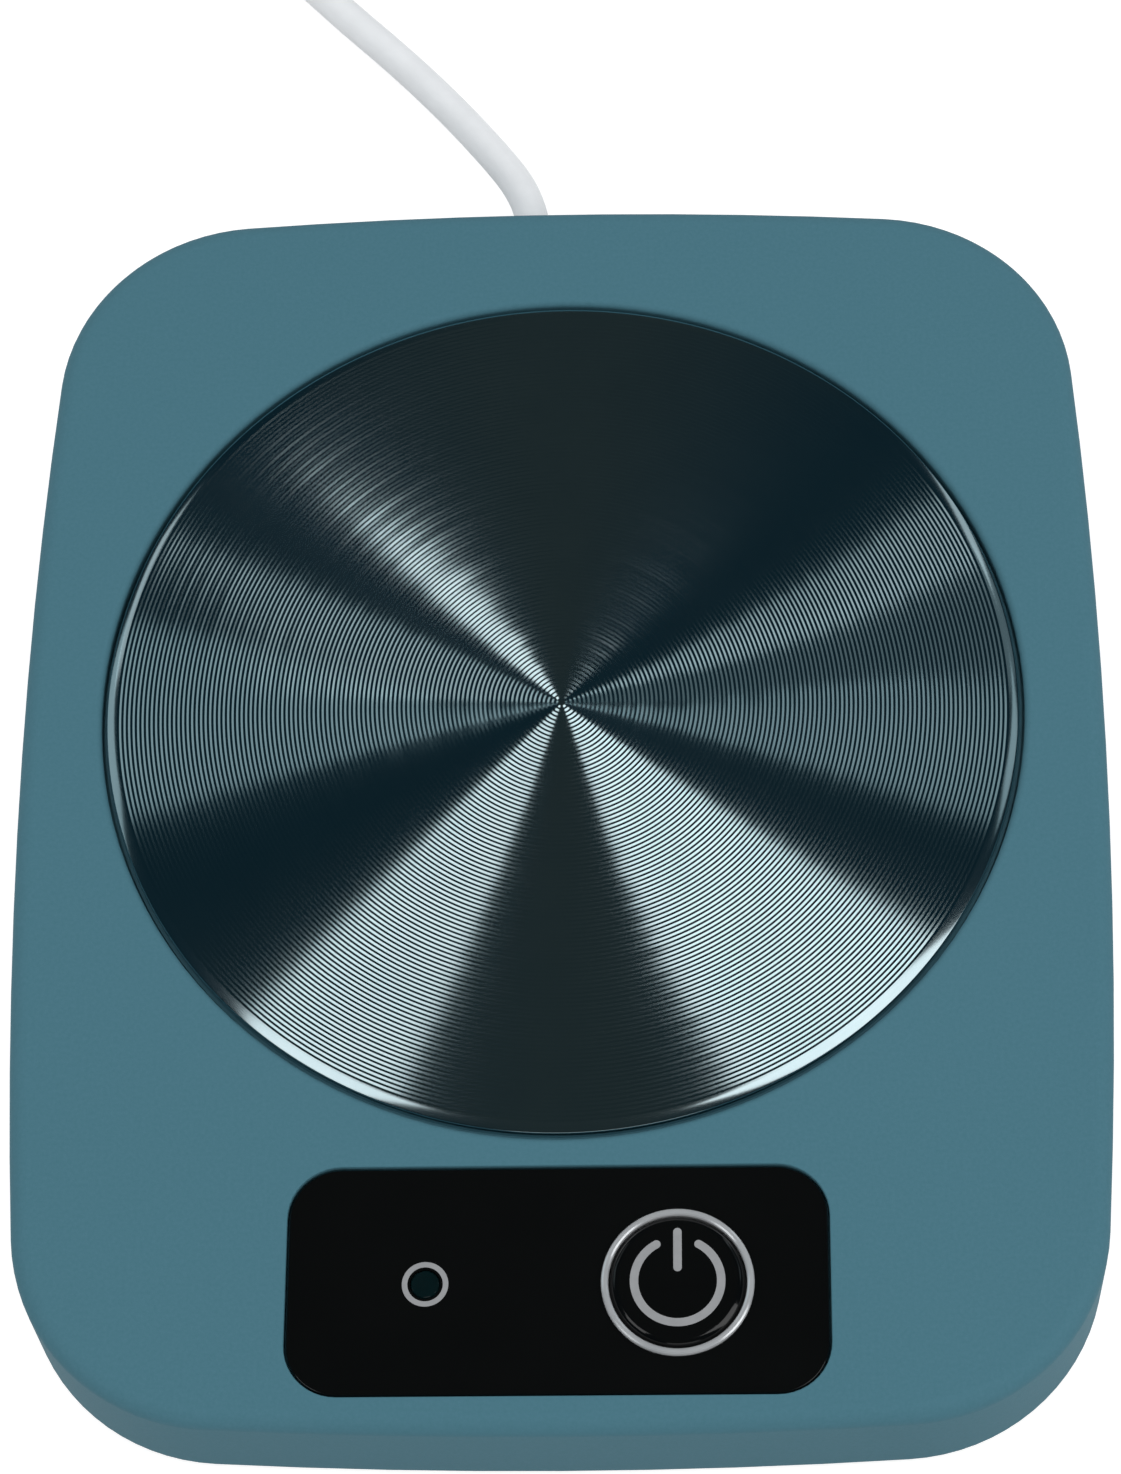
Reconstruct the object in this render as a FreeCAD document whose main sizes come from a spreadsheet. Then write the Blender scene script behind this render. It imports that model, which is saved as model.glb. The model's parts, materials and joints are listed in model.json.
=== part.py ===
import FreeCAD, Part
import math
import os

import Sketcher
from FreeCAD import Placement, Rotation, Vector

# Electric mug warmer: millimetres, +Z up, origin on the table under the middle of the housing,
# the control panel towards -Y and the cord leaving at +Y.

os.makedirs("parts", exist_ok=True)
doc = FreeCAD.newDocument("mug_warmer")
sheet = doc.addObject("Spreadsheet::Sheet", "Dims")

UP = Vector(0, 0, 1)
FULL_TURN = 2 * math.pi

# Driving dimensions

DIMENSIONS = (
    # housing
    ("body_width", 108.0),
    ("body_length", 132.6),
    ("shell_top", 15.0),
    ("skirt_gap", 1.6),
    ("side_bow", 608.0),
    ("front_bow", 592.0),
    ("back_bow", 500.0),
    ("corner_radius", 20.3),
    ("wall", 2.0),
    ("roof", 2.0),
    ("edge_round", 1.8),
    ("skirt_round", 0.5),
    # bottom cover, feet and housing screws
    ("foot_drop", 1.2),
    ("foot_radius", 6.0),
    ("foot_recess", 0.6),
    ("foot_clearance", 0.15),
    ("foot_round", 0.4),
    ("cover_gap", 0.15),
    ("cover_thickness", 1.8),
    ("rib_height", 1.6),
    ("rib_width", 1.2),
    ("rib_gap", 0.6),
    ("boss_inset", 16.5),
    ("boss_radius", 3.2),
    ("case_screw_radius", 1.3),
    ("case_head_radius", 2.4),
    ("case_head_height", 1.4),
    ("case_screw_length", 8.0),
    ("screw_clearance", 0.15),
    ("head_clearance", 0.3),
    ("seat_web", 1.4),
    ("pilot_clearance", 0.05),
    # heating plate and what seals it
    ("plate_radius", 45.5),
    ("plate_web", 2.81),
    ("plate_gap", 0.5),
    ("plate_proud", 0.1),
    ("plate_thickness", 1.6),
    ("rim_width", 1.05),
    ("rim_drop", 0.35),
    ("groove_pitch", 0.45),
    ("groove_depth", 0.09),
    ("groove_outer_flank", 0.21),
    ("opening_round", 0.7),
    ("gasket_thickness", 0.6),
    ("gasket_gap", 0.2),
    ("ledge_width", 4.0),
    ("ledge_thickness", 1.4),
    ("well_wall", 1.6),
    # heater stack under the plate
    ("film_radius", 32.0),
    ("film_thickness", 0.3),
    ("pad_thickness", 3.1),
    ("stack_clearance", 0.3),
    ("shield_thickness", 0.5),
    ("stud_gap", 0.6),
    ("stud_radius", 2.0),
    ("shield_screw_radius", 1.0),
    ("shield_head_radius", 1.8),
    ("shield_rim", 1.0),
    ("shield_head_height", 1.0),
    ("shield_screw_length", 3.0),
    ("sensor_radius", 1.2),
    ("sensor_length", 3.6),
    ("sensor_back", 1.0),
    ("sensor_bend", 1.3),
    ("fuse_radius", 1.4),
    ("fuse_length", 9.0),
    ("fuse_tail", 2.8),
    ("fuse_side", 12.0),
    ("fuse_forward", 10.5),
    ("port_radius", 3.2),
    ("lead_port_side", 9.5),
    ("lead_port_forward", 22.5),
    # control panel
    ("panel_width", 51.0),
    ("panel_length", 22.3),
    ("panel_corner", 4.9),
    ("panel_thickness", 1.2),
    ("panel_gap", 0.2),
    ("panel_recess", 0.35),
    ("panel_inset", 14.84),
    ("keys_forward", 0.3),
    ("panel_floor", 1.4),
    ("panel_round", 0.15),
    ("glue_thickness", 0.15),
    ("glue_inset", 0.8),
    # power button
    ("button_x", 11.3),
    ("button_radius", 6.45),
    ("button_clearance", 0.08),
    ("button_round", 0.9),
    ("button_rise", 0.55),
    ("button_flange", 0.6),
    ("button_flange_thickness", 0.7),
    ("button_travel", 0.3),
    ("stem_radius", 2.0),
    ("bezel_width", 0.7),
    ("bezel_sleeve", 0.4),
    ("bezel_rise", 0.45),
    ("symbol_radius", 4.1),
    ("symbol_stroke", 0.8),
    ("symbol_depth", 0.12),
    ("symbol_gap_angle", 29.0),
    ("symbol_bar_low", 0.9),
    ("symbol_bar_high", 5.2),
    # indicator
    ("indicator_x", -12.5),
    ("lens_radius", 1.4),
    ("ring_inner", 1.68),
    ("ring_outer", 2.2),
    ("ring_depth", 0.12),
    ("led_radius", 1.4),
    ("led_height", 2.0),
    # switch under the button
    ("switch_size", 6.2),
    ("switch_height", 3.4),
    ("switch_cover", 0.3),
    ("plunger_radius", 1.7),
    ("plunger_rise", 0.6),
    ("plunger_clearance", 0.06),
    ("dome_radius", 2.2),
    ("dome_height", 0.9),
    ("dome_metal", 0.12),
    # circuit board
    ("board_width", 50.0),
    ("board_length", 19.0),
    ("board_thickness", 1.0),
    ("board_top", 7.0),
    ("board_boss_inset", 2.6),
    ("board_boss_radius", 2.0),
    ("board_screw_radius", 0.9),
    ("board_head_radius", 1.7),
    ("board_head_height", 1.0),
    ("board_screw_length", 4.0),
    ("part_gap", 1.0),
    ("chip_length", 4.0),
    ("chip_width", 5.0),
    ("chip_height", 1.6),
    ("chip_pin", 0.4),
    ("chip_pin_pitch", 1.27),
    ("chip_side", -1.0),
    ("chip_forward", 3.4),
    ("transistor_width", 6.2),
    ("transistor_length", 3.6),
    ("transistor_height", 1.8),
    ("transistor_pin", 0.7),
    ("transistor_side", -14.6),
    ("transistor_forward", 5.8),
    ("capacitor_radius", 2.1),
    ("capacitor_height", 3.6),
    ("capacitor_side", 19.6),
    ("capacitor_forward", 2.0),
    ("resistor_length", 1.6),
    ("resistor_width", 0.8),
    ("resistor_height", 0.5),
    ("resistor_pitch", 2.6),
    ("connector_length", 5.4),
    ("connector_height", 4.0),
    ("connector_wall", 0.8),
    ("heater_connector_width", 10.4),
    ("supply_connector_width", 5.4),
    # supply cord, its grommet and its clamp
    ("cord_diameter", 3.6),
    ("cord_lift", 0.05),
    ("exit_x", -3.8),
    ("exit_height", 5.2),
    ("grommet_neck", 2.7),
    ("grommet_flange", 3.3),
    ("grommet_lip", 1.2),
    ("grommet_round", 0.5),
    ("grommet_clearance", 0.1),
    ("bore_clearance", 0.05),
    ("clamp_inset", 9.3),
    ("clamp_length", 17.0),
    ("clamp_width", 5.0),
    ("clamp_height", 2.6),
    ("clamp_post_offset", 5.8),
    ("clamp_post_radius", 2.2),
    ("clamp_screw_radius", 1.0),
    ("clamp_head_radius", 1.8),
    ("clamp_head_height", 1.0),
    ("clamp_screw_length", 4.2),
    ("cord_end", 4.5),
    ("lead_diameter", 1.3),
    ("sensor_lead_diameter", 0.8),
    ("lead_stub", 4.0),
    ("lead_drop", 2.4),
    ("lead_bow", 3.0),
    # coil of cord put away behind the housing
    ("coil_middle_diameter", 41.4),
    ("coil_gap", 0.55),
    ("coil_x", -17.5),
    ("coil_y", 136.2),
    # plug
    ("plug_width", 15.6),
    ("plug_height", 8.0),
    ("plug_length", 21.0),
    ("plug_round", 2.4),
    ("relief_length", 9.0),
    ("relief_radius", 3.0),
    ("relief_tip_radius", 2.4),
    ("contact_shell_width", 12.0),
    ("contact_shell_height", 4.5),
    ("contact_shell_length", 11.8),
    ("contact_shell_metal", 0.35),
    ("window_width", 2.2),
    ("window_length", 2.4),
    ("window_side", 2.9),
    ("window_start", 5.3),
    ("tongue_height", 1.9),
    ("tongue_gap", 0.1),
    ("contact_width", 1.0),
    ("contact_metal", 0.2),
    ("contact_start", 1.35),
    ("outer_contact_side", 3.5),
    ("outer_contact_length", 8.5),
    ("inner_contact_side", 1.0),
    ("inner_contact_length", 7.3),
)

for row, (alias, number) in enumerate(DIMENSIONS, start=1):
    sheet.set(f"A{row}", alias.replace("_", " "))
    sheet.set(f"B{row}", str(number))
    sheet.setAlias(f"B{row}", alias)
doc.recompute()


def value(expression):
    # the number that an expression over the sheet gives
    return float(sheet.evalExpression(expression))


def dim(alias):
    return float(getattr(sheet, alias))


# Levels and places that several pieces share, as expressions over the sheet

ROOF_UNDER = "(Dims.shell_top - Dims.roof)"
COVER_TOP = "(Dims.foot_drop + Dims.cover_thickness)"
FOOT_SEAT = "(Dims.foot_drop + Dims.foot_recess)"
HEAD_SEAT = f"({FOOT_SEAT} + Dims.case_head_height + Dims.head_clearance)"
POST_TOP = f"({HEAD_SEAT} + Dims.seat_web)"
BOSS_X = "(Dims.body_width / 2 - Dims.boss_inset)"
BOSS_Y = "(Dims.body_length / 2 - Dims.boss_inset)"
OPENING_RADIUS = "(Dims.plate_radius + Dims.plate_gap)"
LEDGE_RADIUS = f"({OPENING_RADIUS} - Dims.ledge_width)"
PLATE_TOP = "(Dims.shell_top + Dims.plate_proud)"
PLATE_UNDER = f"({PLATE_TOP} - Dims.plate_thickness)"
LEDGE_TOP = f"({PLATE_UNDER} - Dims.gasket_thickness)"
LEDGE_UNDER = f"({LEDGE_TOP} - Dims.ledge_thickness)"
DISH_INNER = "(Dims.film_radius + Dims.stack_clearance)"
DISH_OUTER = f"({DISH_INNER} + Dims.shield_thickness)"
STUD_CIRCLE = f"({DISH_OUTER} + Dims.stud_gap + Dims.stud_radius)"
STUD_OFFSET = f"({STUD_CIRCLE} * sqrt(0.5))"
FILM_UNDER = f"({PLATE_UNDER} - Dims.film_thickness)"
PAD_UNDER = f"({FILM_UNDER} - Dims.pad_thickness)"
SHIELD_UNDER = f"({PAD_UNDER} - Dims.shield_thickness)"
PANEL_Y = "(Dims.panel_inset - Dims.body_length / 2)"
KEYS_Y = f"({PANEL_Y} - Dims.keys_forward)"
PANEL_BACK = f"({PANEL_Y} + Dims.panel_length / 2 + Dims.panel_gap)"
PLATE_Y = f"({PANEL_BACK} + Dims.plate_web + {OPENING_RADIUS})"
PANEL_TOP = "(Dims.shell_top - Dims.panel_recess)"
PANEL_UNDER = f"({PANEL_TOP} - Dims.panel_thickness)"
FLOOR_TOP = f"({PANEL_UNDER} - Dims.glue_thickness)"
FLOOR_UNDER = f"({FLOOR_TOP} - Dims.panel_floor)"
SLEEVE_INNER = "(Dims.button_radius + Dims.button_clearance)"
SLEEVE_OUTER = f"({SLEEVE_INNER} + Dims.bezel_sleeve)"
FLANGE_RADIUS = "(Dims.button_radius + Dims.button_flange)"
FLANGE_TOP = f"({FLOOR_TOP} - Dims.plunger_clearance)"
BOARD_UNDER = "(Dims.board_top - Dims.board_thickness)"
SWITCH_TOP = "(Dims.board_top + Dims.switch_height)"
SWITCH_RIM = f"({SWITCH_TOP} - Dims.switch_cover)"
PLUNGER_TOP = f"({SWITCH_TOP} + Dims.plunger_rise)"
DOME_SEAT = "(Dims.board_top + Dims.switch_cover + Dims.plunger_clearance)"
PLUNGER_FOOT = f"({DOME_SEAT} + Dims.dome_height + Dims.plunger_clearance)"
BOARD_BOSS_X = "(Dims.board_width / 2 - Dims.board_boss_inset)"
BOARD_BOSS_DY = "(Dims.board_length / 2 - Dims.board_boss_inset)"
BACK_FACE = "(Dims.body_length / 2)"
CORD_RADIUS = "(Dims.cord_diameter / 2)"
CORD_EXIT_Y = f"({BACK_FACE} + Dims.grommet_lip)"
CLAMP_Y = f"({BACK_FACE} - Dims.clamp_inset)"


# Bodies, sketches and features

exported = []


def export(thing, label=None):
    if label:
        thing.Label = label
    exported.append(thing)
    return thing


def new_body(label):
    body = doc.addObject("PartDesign::Body", label)
    body.Label = label
    return body


def origin_plane(body, role):
    return next(item for item in body.Origin.OriginFeatures if item.Role == role)


def new_sketch(body, name, height="0", role="XY_Plane"):
    sketch = body.newObject("Sketcher::SketchObject", name)
    sketch.AttachmentSupport = (origin_plane(body, role), [""])
    sketch.MapMode = "FlatFace"
    sketch.setExpression("AttachmentOffset.Base.z", height)
    return sketch


def bind(sketch, expression, kind, *places):
    index = sketch.addConstraint(Sketcher.Constraint(kind, *places, value(expression)))
    sketch.setExpression(f"Constraints[{index}]", expression)


def add_circle(sketch, x, y, radius):
    circle = Part.Circle(Vector(value(x), value(y), 0), UP, value(radius))
    index = sketch.addGeometry(circle)
    bind(sketch, radius, "Radius", index)
    bind(sketch, x, "DistanceX", -1, 1, index, 3)
    bind(sketch, y, "DistanceY", -1, 1, index, 3)


def add_polygon(sketch, points):
    # closed run of lines whose every corner is held by its own pair of expressions
    corners = [Vector(value(x), value(y), 0) for x, y in points]
    count = len(corners)
    lines = [
        sketch.addGeometry(Part.LineSegment(corners[i], corners[(i + 1) % count]))
        for i in range(count)
    ]
    for i in range(count):
        sketch.addConstraint(Sketcher.Constraint("Coincident", lines[i], 2, lines[(i + 1) % count], 1))
    for line, (x, y) in zip(lines, points):
        bind(sketch, x, "DistanceX", -1, 1, line, 1)
        bind(sketch, y, "DistanceY", -1, 1, line, 1)


def add_box(sketch, x, y, width, length):
    left, right = f"{x} - ({width}) / 2", f"{x} + ({width}) / 2"
    front, back = f"{y} - ({length}) / 2", f"{y} + ({length}) / 2"
    add_polygon(sketch, [(left, front), (right, front), (right, back), (left, back)])


def add_rounded_box(sketch, x, y, width, length, radius):
    left, right = value(f"{x} - ({width}) / 2"), value(f"{x} + ({width}) / 2")
    front, back = value(f"{y} - ({length}) / 2"), value(f"{y} + ({length}) / 2")
    bend = value(radius)
    ends = [
        (Vector(left + bend, front, 0), Vector(right - bend, front, 0)),
        (Vector(right, front + bend, 0), Vector(right, back - bend, 0)),
        (Vector(right - bend, back, 0), Vector(left + bend, back, 0)),
        (Vector(left, back - bend, 0), Vector(left, front + bend, 0)),
    ]
    centres = [
        Vector(right - bend, front + bend, 0),
        Vector(right - bend, back - bend, 0),
        Vector(left + bend, back - bend, 0),
        Vector(left + bend, front + bend, 0),
    ]
    lines = [sketch.addGeometry(Part.LineSegment(*pair)) for pair in ends]
    arcs = []
    for i, centre in enumerate(centres):
        begin = (i - 1) * math.pi / 2
        circle = Part.Circle(centre, UP, bend)
        arcs.append(sketch.addGeometry(Part.ArcOfCircle(circle, begin, begin + math.pi / 2)))
    for i in range(4):
        sketch.addConstraint(Sketcher.Constraint("Tangent", lines[i], 2, arcs[i], 1))
        sketch.addConstraint(Sketcher.Constraint("Tangent", arcs[i], 2, lines[(i + 1) % 4], 1))
    for i in range(3):
        sketch.addConstraint(Sketcher.Constraint("Equal", arcs[i], arcs[i + 1]))
    for i in (0, 2):
        sketch.addConstraint(Sketcher.Constraint("Horizontal", lines[i]))
        sketch.addConstraint(Sketcher.Constraint("Vertical", lines[i + 1]))
    bind(sketch, radius, "Radius", arcs[0])
    bind(sketch, f"{y} - ({length}) / 2", "DistanceY", -1, 1, lines[0], 1)
    bind(sketch, f"{x} + ({width}) / 2", "DistanceX", -1, 1, lines[1], 1)
    bind(sketch, f"{y} + ({length}) / 2", "DistanceY", -1, 1, lines[2], 1)
    bind(sketch, f"{x} - ({width}) / 2", "DistanceX", -1, 1, lines[3], 1)


def corner_centre(side, side_radius, end, end_radius):
    # where the circles about two bows meet, on the near side: the middle of a corner arc
    span = end - side
    distance = span.Length
    along = (distance ** 2 + side_radius ** 2 - end_radius ** 2) / (2 * distance)
    across = math.sqrt(side_radius ** 2 - along ** 2)
    unit = span / distance
    foot = side + unit * along
    sides = (foot + Vector(-unit.y, unit.x, 0) * across, foot - Vector(-unit.y, unit.x, 0) * across)
    return min(sides, key=lambda point: abs(point.x) + abs(point.y))


def add_outline(sketch, inset):
    # housing outline seen from above: four shallow bows and four corner arcs, all tangent
    half_width, half_length = dim("body_width") / 2, dim("body_length") / 2
    side, front, back = dim("side_bow"), dim("front_bow"), dim("back_bow")
    step = value(inset)
    corner = dim("corner_radius")
    right_middle = Vector(half_width - side, 0, 0)
    left_middle = Vector(side - half_width, 0, 0)
    back_middle = Vector(0, half_length - back, 0)
    front_middle = Vector(0, front - half_length, 0)
    bows = [
        (right_middle, side, 0),
        (back_middle, back, math.pi / 2),
        (left_middle, side, math.pi),
        (front_middle, front, 3 * math.pi / 2),
    ]
    corners = []
    for i in range(4):
        here, there = bows[i], bows[(i + 1) % 4]
        corners.append(corner_centre(here[0], here[1] - corner, there[0], there[1] - corner))
    curves = []
    for i, (middle, radius, heading) in enumerate(bows):
        before, after = corners[i - 1] - middle, corners[i] - middle
        begin, end = math.atan2(before.y, before.x), math.atan2(after.y, after.x)
        begin = heading + math.remainder(begin - heading, FULL_TURN)
        end = heading + math.remainder(end - heading, FULL_TURN)
        circle = Part.Circle(middle, UP, radius - step)
        curves.append(sketch.addGeometry(Part.ArcOfCircle(circle, begin, end)))
        next_middle = bows[(i + 1) % 4][0]
        leave = corners[i] - next_middle
        turn_end = end + math.remainder(math.atan2(leave.y, leave.x) - end, FULL_TURN)
        circle = Part.Circle(corners[i], UP, corner - step)
        curves.append(sketch.addGeometry(Part.ArcOfCircle(circle, end, turn_end)))
    for i in range(8):
        sketch.addConstraint(Sketcher.Constraint("Tangent", curves[i], 2, curves[(i + 1) % 8], 1))
    for i in (1, 3, 5):
        sketch.addConstraint(Sketcher.Constraint("Equal", curves[i], curves[i + 2]))
    sketch.addConstraint(Sketcher.Constraint("Equal", curves[0], curves[4]))
    bind(sketch, f"Dims.side_bow - ({inset})", "Radius", curves[0])
    bind(sketch, f"Dims.corner_radius - ({inset})", "Radius", curves[1])
    bind(sketch, f"Dims.back_bow - ({inset})", "Radius", curves[2])
    bind(sketch, f"Dims.front_bow - ({inset})", "Radius", curves[6])
    for i in (0, 4):
        sketch.addConstraint(Sketcher.Constraint("PointOnObject", curves[i], 3, -1))
        sketch.addConstraint(Sketcher.Constraint("PointOnObject", curves[i + 2], 3, -2))
    bind(sketch, "Dims.body_width / 2 - Dims.side_bow", "DistanceX", -1, 1, curves[0], 3)
    bind(sketch, "Dims.side_bow - Dims.body_width / 2", "DistanceX", -1, 1, curves[4], 3)
    bind(sketch, "Dims.body_length / 2 - Dims.back_bow", "DistanceY", -1, 1, curves[2], 3)
    bind(sketch, "Dims.front_bow - Dims.body_length / 2", "DistanceY", -1, 1, curves[6], 3)


def pad(body, name, sketch, length):
    feature = body.newObject("PartDesign::Pad", name)
    feature.Profile = sketch
    feature.setExpression("Length", length)
    doc.recompute()
    return feature


def pocket_up(body, name, sketch, length):
    # cuts from the sketch upwards, and prints a line if that took nothing away
    before = body.Shape.Volume
    feature = body.newObject("PartDesign::Pocket", name)
    feature.Profile = sketch
    feature.Reversed = True
    feature.setExpression("Length", length)
    doc.recompute()
    if body.Shape.Volume > before - 1e-6:
        print(name, "cut nothing")
    return feature


def fillet(body, name, base, edges, radius):
    feature = body.newObject("PartDesign::Fillet", name)
    feature.Base = (base, edges)
    feature.setExpression("Radius", radius)
    doc.recompute()
    return feature


def edges_where(shape, test):
    return [f"Edge{i}" for i, edge in enumerate(shape.Edges, start=1) if test(edge)]


def lies_at(edge, level):
    box = edge.BoundBox
    return abs(box.ZMin - level) < 1e-4 and abs(box.ZMax - level) < 1e-4


def padded_body(label, height, length, draw):
    # one flat sketch drawn by the caller, padded upwards
    body = new_body(label)
    sketch = new_sketch(body, f"{label}_outline", height)
    draw(sketch)
    pad(body, f"{label}_pad", sketch, length)
    return body


def turned_body(label, points, x="0", y="0"):
    # (radius, height) corners turned about a vertical axis at x, y
    body = new_body(label)
    sketch = new_sketch(body, f"{label}_profile", role="XZ_Plane")
    add_polygon(sketch, points)
    feature = body.newObject("PartDesign::Revolution", f"{label}_turn")
    feature.Profile = sketch
    feature.ReferenceAxis = (sketch, ["V_Axis"])
    feature.Angle = 360
    body.setExpression("Placement.Base.x", x)
    body.setExpression("Placement.Base.y", y)
    doc.recompute()
    return body


def ring_points(inner, outer, low, high):
    return [(inner, low), (outer, low), (outer, high), (inner, high)]


def block(name, x, y, z, width, length, height):
    # box centred on x, y and standing on z
    box = doc.addObject("Part::Box", name)
    box.setExpression("Length", width)
    box.setExpression("Width", length)
    box.setExpression("Height", height)
    box.setExpression("Placement.Base.x", f"{x} - ({width}) / 2")
    box.setExpression("Placement.Base.y", f"{y} - ({length}) / 2")
    box.setExpression("Placement.Base.z", z)
    return box


def rod(name, x, y, z, radius, height):
    cylinder = doc.addObject("Part::Cylinder", name)
    cylinder.setExpression("Radius", radius)
    cylinder.setExpression("Height", height)
    cylinder.setExpression("Placement.Base.x", x)
    cylinder.setExpression("Placement.Base.y", y)
    cylinder.setExpression("Placement.Base.z", z)
    return cylinder


def rod_along_y(name, x, y, z, radius, length):
    cylinder = rod(name, x, y, z, radius, length)
    cylinder.Placement.Rotation = Rotation(Vector(1, 0, 0), -90)
    return cylinder


def joined(label, pieces):
    fused = doc.addObject("Part::MultiFuse", label)
    fused.Shapes = pieces
    return fused


def cut(label, base, tool):
    result = doc.addObject("Part::Cut", label)
    result.Base = base
    result.Tool = tool
    return result


def grouped(label, pieces):
    group = doc.addObject("Part::Compound", label)
    group.Links = pieces
    return group


def corner_places(x, y, centre="0"):
    return [(f"{a} * {x}", f"{centre} + {b} * {y}") for a in (-1, 1) for b in (-1, 1)]


def screws(label, places, seat, head_radius, head_height, radius, length):
    # pan-head screws driven upwards: the head hangs below the seat and the shank rises from it
    recess = f"{seat} - {head_height}"
    tip = f"{seat} + {length}"
    profile = [
        ("0", f"{recess} + {head_height} / 2"),
        (f"{radius} / 2", recess),
        (f"{head_radius} * 0.8", recess),
        (head_radius, f"{recess} + {head_height} * 0.4"),
        (head_radius, seat),
        (radius, seat),
        (radius, f"{tip} - {radius}"),
        (f"{radius} * 0.3", tip),
        ("0", tip),
    ]
    pieces = [
        turned_body(f"{label}_{i}", profile, x, y) for i, (x, y) in enumerate(places, start=1)
    ]
    return export(grouped(label, pieces))


# Tubes: straight runs joined by tangent arcs, and turns on pairs of arcs

def run_and_arc_path(name, points):
    # each arc takes 0.45 of the shorter run beside its point
    edges = []
    start = points[0]
    radii = []
    for before, here, after in zip(points, points[1:], points[2:]):
        to_before, to_after = before - here, after - here
        reach = 0.45 * min(to_before.Length, to_after.Length)
        to_before.normalize()
        to_after.normalize()
        half_turn = (math.pi - to_before.getAngle(to_after)) / 2
        radii.append(reach / math.tan(half_turn))
        arc_start, arc_end = here + to_before * reach, here + to_after * reach
        middle = to_before + to_after
        middle.normalize()
        sagitta = radii[-1] / math.cos(half_turn) - radii[-1]
        edges.append(Part.LineSegment(start, arc_start).toShape())
        edges.append(Part.Arc(arc_start, here + middle * sagitta, arc_end).toShape())
        start = arc_end
    edges.append(Part.LineSegment(start, points[-1]).toShape())
    print(name, "bend radii", [round(radius, 1) for radius in radii])
    return Part.Wire(edges)


def swept_tube(wire, start, heading, diameter):
    circle = Part.Wire(Part.Circle(start, heading, diameter / 2).toShape())
    shell = Part.BRepOffsetAPI.MakePipeShell(wire)
    shell.add(circle)
    shell.build()
    shell.makeSolid()
    return shell.shape()


def tube(name, points, diameter):
    wire = run_and_arc_path(name, points)
    solid = swept_tube(wire, points[0], points[1] - points[0], diameter)
    expected = math.pi * (diameter / 2) ** 2 * wire.Length
    print(name, "length", round(wire.Length, 1), "volume ratio", round(solid.Volume / expected, 4))
    return solid


def feature_from(label, shape):
    feature = doc.addObject("Part::Feature", label)
    feature.Shape = shape
    feature.Placement = Placement()
    return export(feature)


def arc_leaving(start, tangent, end):
    chord = end - start
    unit = Vector(chord)
    unit.normalize()
    lift = tangent - unit * tangent.dot(unit)
    if lift.Length < 1e-9:
        return Part.LineSegment(start, end).toShape()
    angle = tangent.getAngle(chord)
    lift.normalize()
    middle = start + chord / 2 + lift * (chord.Length / 2 * math.tan(angle / 2))
    return Part.Arc(start, middle, end).toShape()


def arc_arriving(start, end, tangent):
    backwards = arc_leaving(end, tangent * -1, start)
    middle = backwards.valueAt((backwards.FirstParameter + backwards.LastParameter) / 2)
    if backwards.Curve.TypeId == "Part::GeomLine":
        return Part.LineSegment(start, end).toShape()
    return Part.Arc(start, middle, end).toShape()


def pair_of_arcs(start, start_tangent, end, end_tangent):
    # two tangent arcs that leave start and reach end along the given directions
    span = end - start
    both = start_tangent + end_tangent
    spread = 2 * (1 - start_tangent.dot(end_tangent))
    across = span.dot(both)
    reach = (math.sqrt(across ** 2 + spread * span.dot(span)) - across) / spread
    joint = (start + end + (start_tangent - end_tangent) * reach) / 2
    return [arc_leaving(start, start_tangent, joint), arc_arriving(joint, end, end_tangent)]


# Top shell

shell = new_body("top_shell")
outline = new_sketch(shell, "shell_outline", "Dims.skirt_gap")
add_outline(outline, "0")
shell_block = pad(shell, "shell_block", outline, "Dims.shell_top - Dims.skirt_gap")
top_edges = edges_where(shell.Shape, lambda edge: lies_at(edge, dim("shell_top")))
rounded = fillet(shell, "shell_edge_round", shell_block, top_edges, "Dims.edge_round")
low_edges = edges_where(shell.Shape, lambda edge: lies_at(edge, dim("skirt_gap")))
fillet(shell, "shell_skirt_round", rounded, low_edges, "Dims.skirt_round")

cavity = new_sketch(shell, "shell_cavity_outline", "Dims.skirt_gap")
add_outline(cavity, "Dims.wall")
pocket_up(shell, "shell_cavity", cavity, f"{ROOF_UNDER} - Dims.skirt_gap")

well = new_sketch(shell, "plate_well_outline", LEDGE_UNDER)
add_circle(well, "0", PLATE_Y, f"{OPENING_RADIUS} + Dims.well_wall")
pad(shell, "plate_well", well, f"Dims.shell_top - Dims.roof / 2 - {LEDGE_UNDER}")

floor_outline = new_sketch(shell, "panel_floor_outline", FLOOR_UNDER)
add_rounded_box(
    floor_outline, "0", PANEL_Y,
    "Dims.panel_width + 2 * Dims.panel_gap + 2 * Dims.panel_floor",
    "Dims.panel_length + 2 * Dims.panel_gap + 2 * Dims.panel_floor",
    "Dims.panel_corner + Dims.panel_gap + Dims.panel_floor",
)
pad(shell, "panel_floor_block", floor_outline, f"Dims.shell_top - Dims.roof / 2 - {FLOOR_UNDER}")

boss_outline = new_sketch(shell, "case_boss_outline", POST_TOP)
for boss_x, boss_y in corner_places(BOSS_X, BOSS_Y):
    add_circle(boss_outline, boss_x, boss_y, "Dims.boss_radius")
pad(shell, "case_bosses", boss_outline, f"Dims.shell_top - Dims.roof / 2 - {POST_TOP}")

board_boss_outline = new_sketch(shell, "board_boss_outline", "Dims.board_top")
for boss_x, boss_y in corner_places(BOARD_BOSS_X, BOARD_BOSS_DY, PANEL_Y):
    add_circle(board_boss_outline, boss_x, boss_y, "Dims.board_boss_radius")
pad(shell, "board_bosses", board_boss_outline, f"{FLOOR_TOP} - Dims.board_top")

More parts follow.
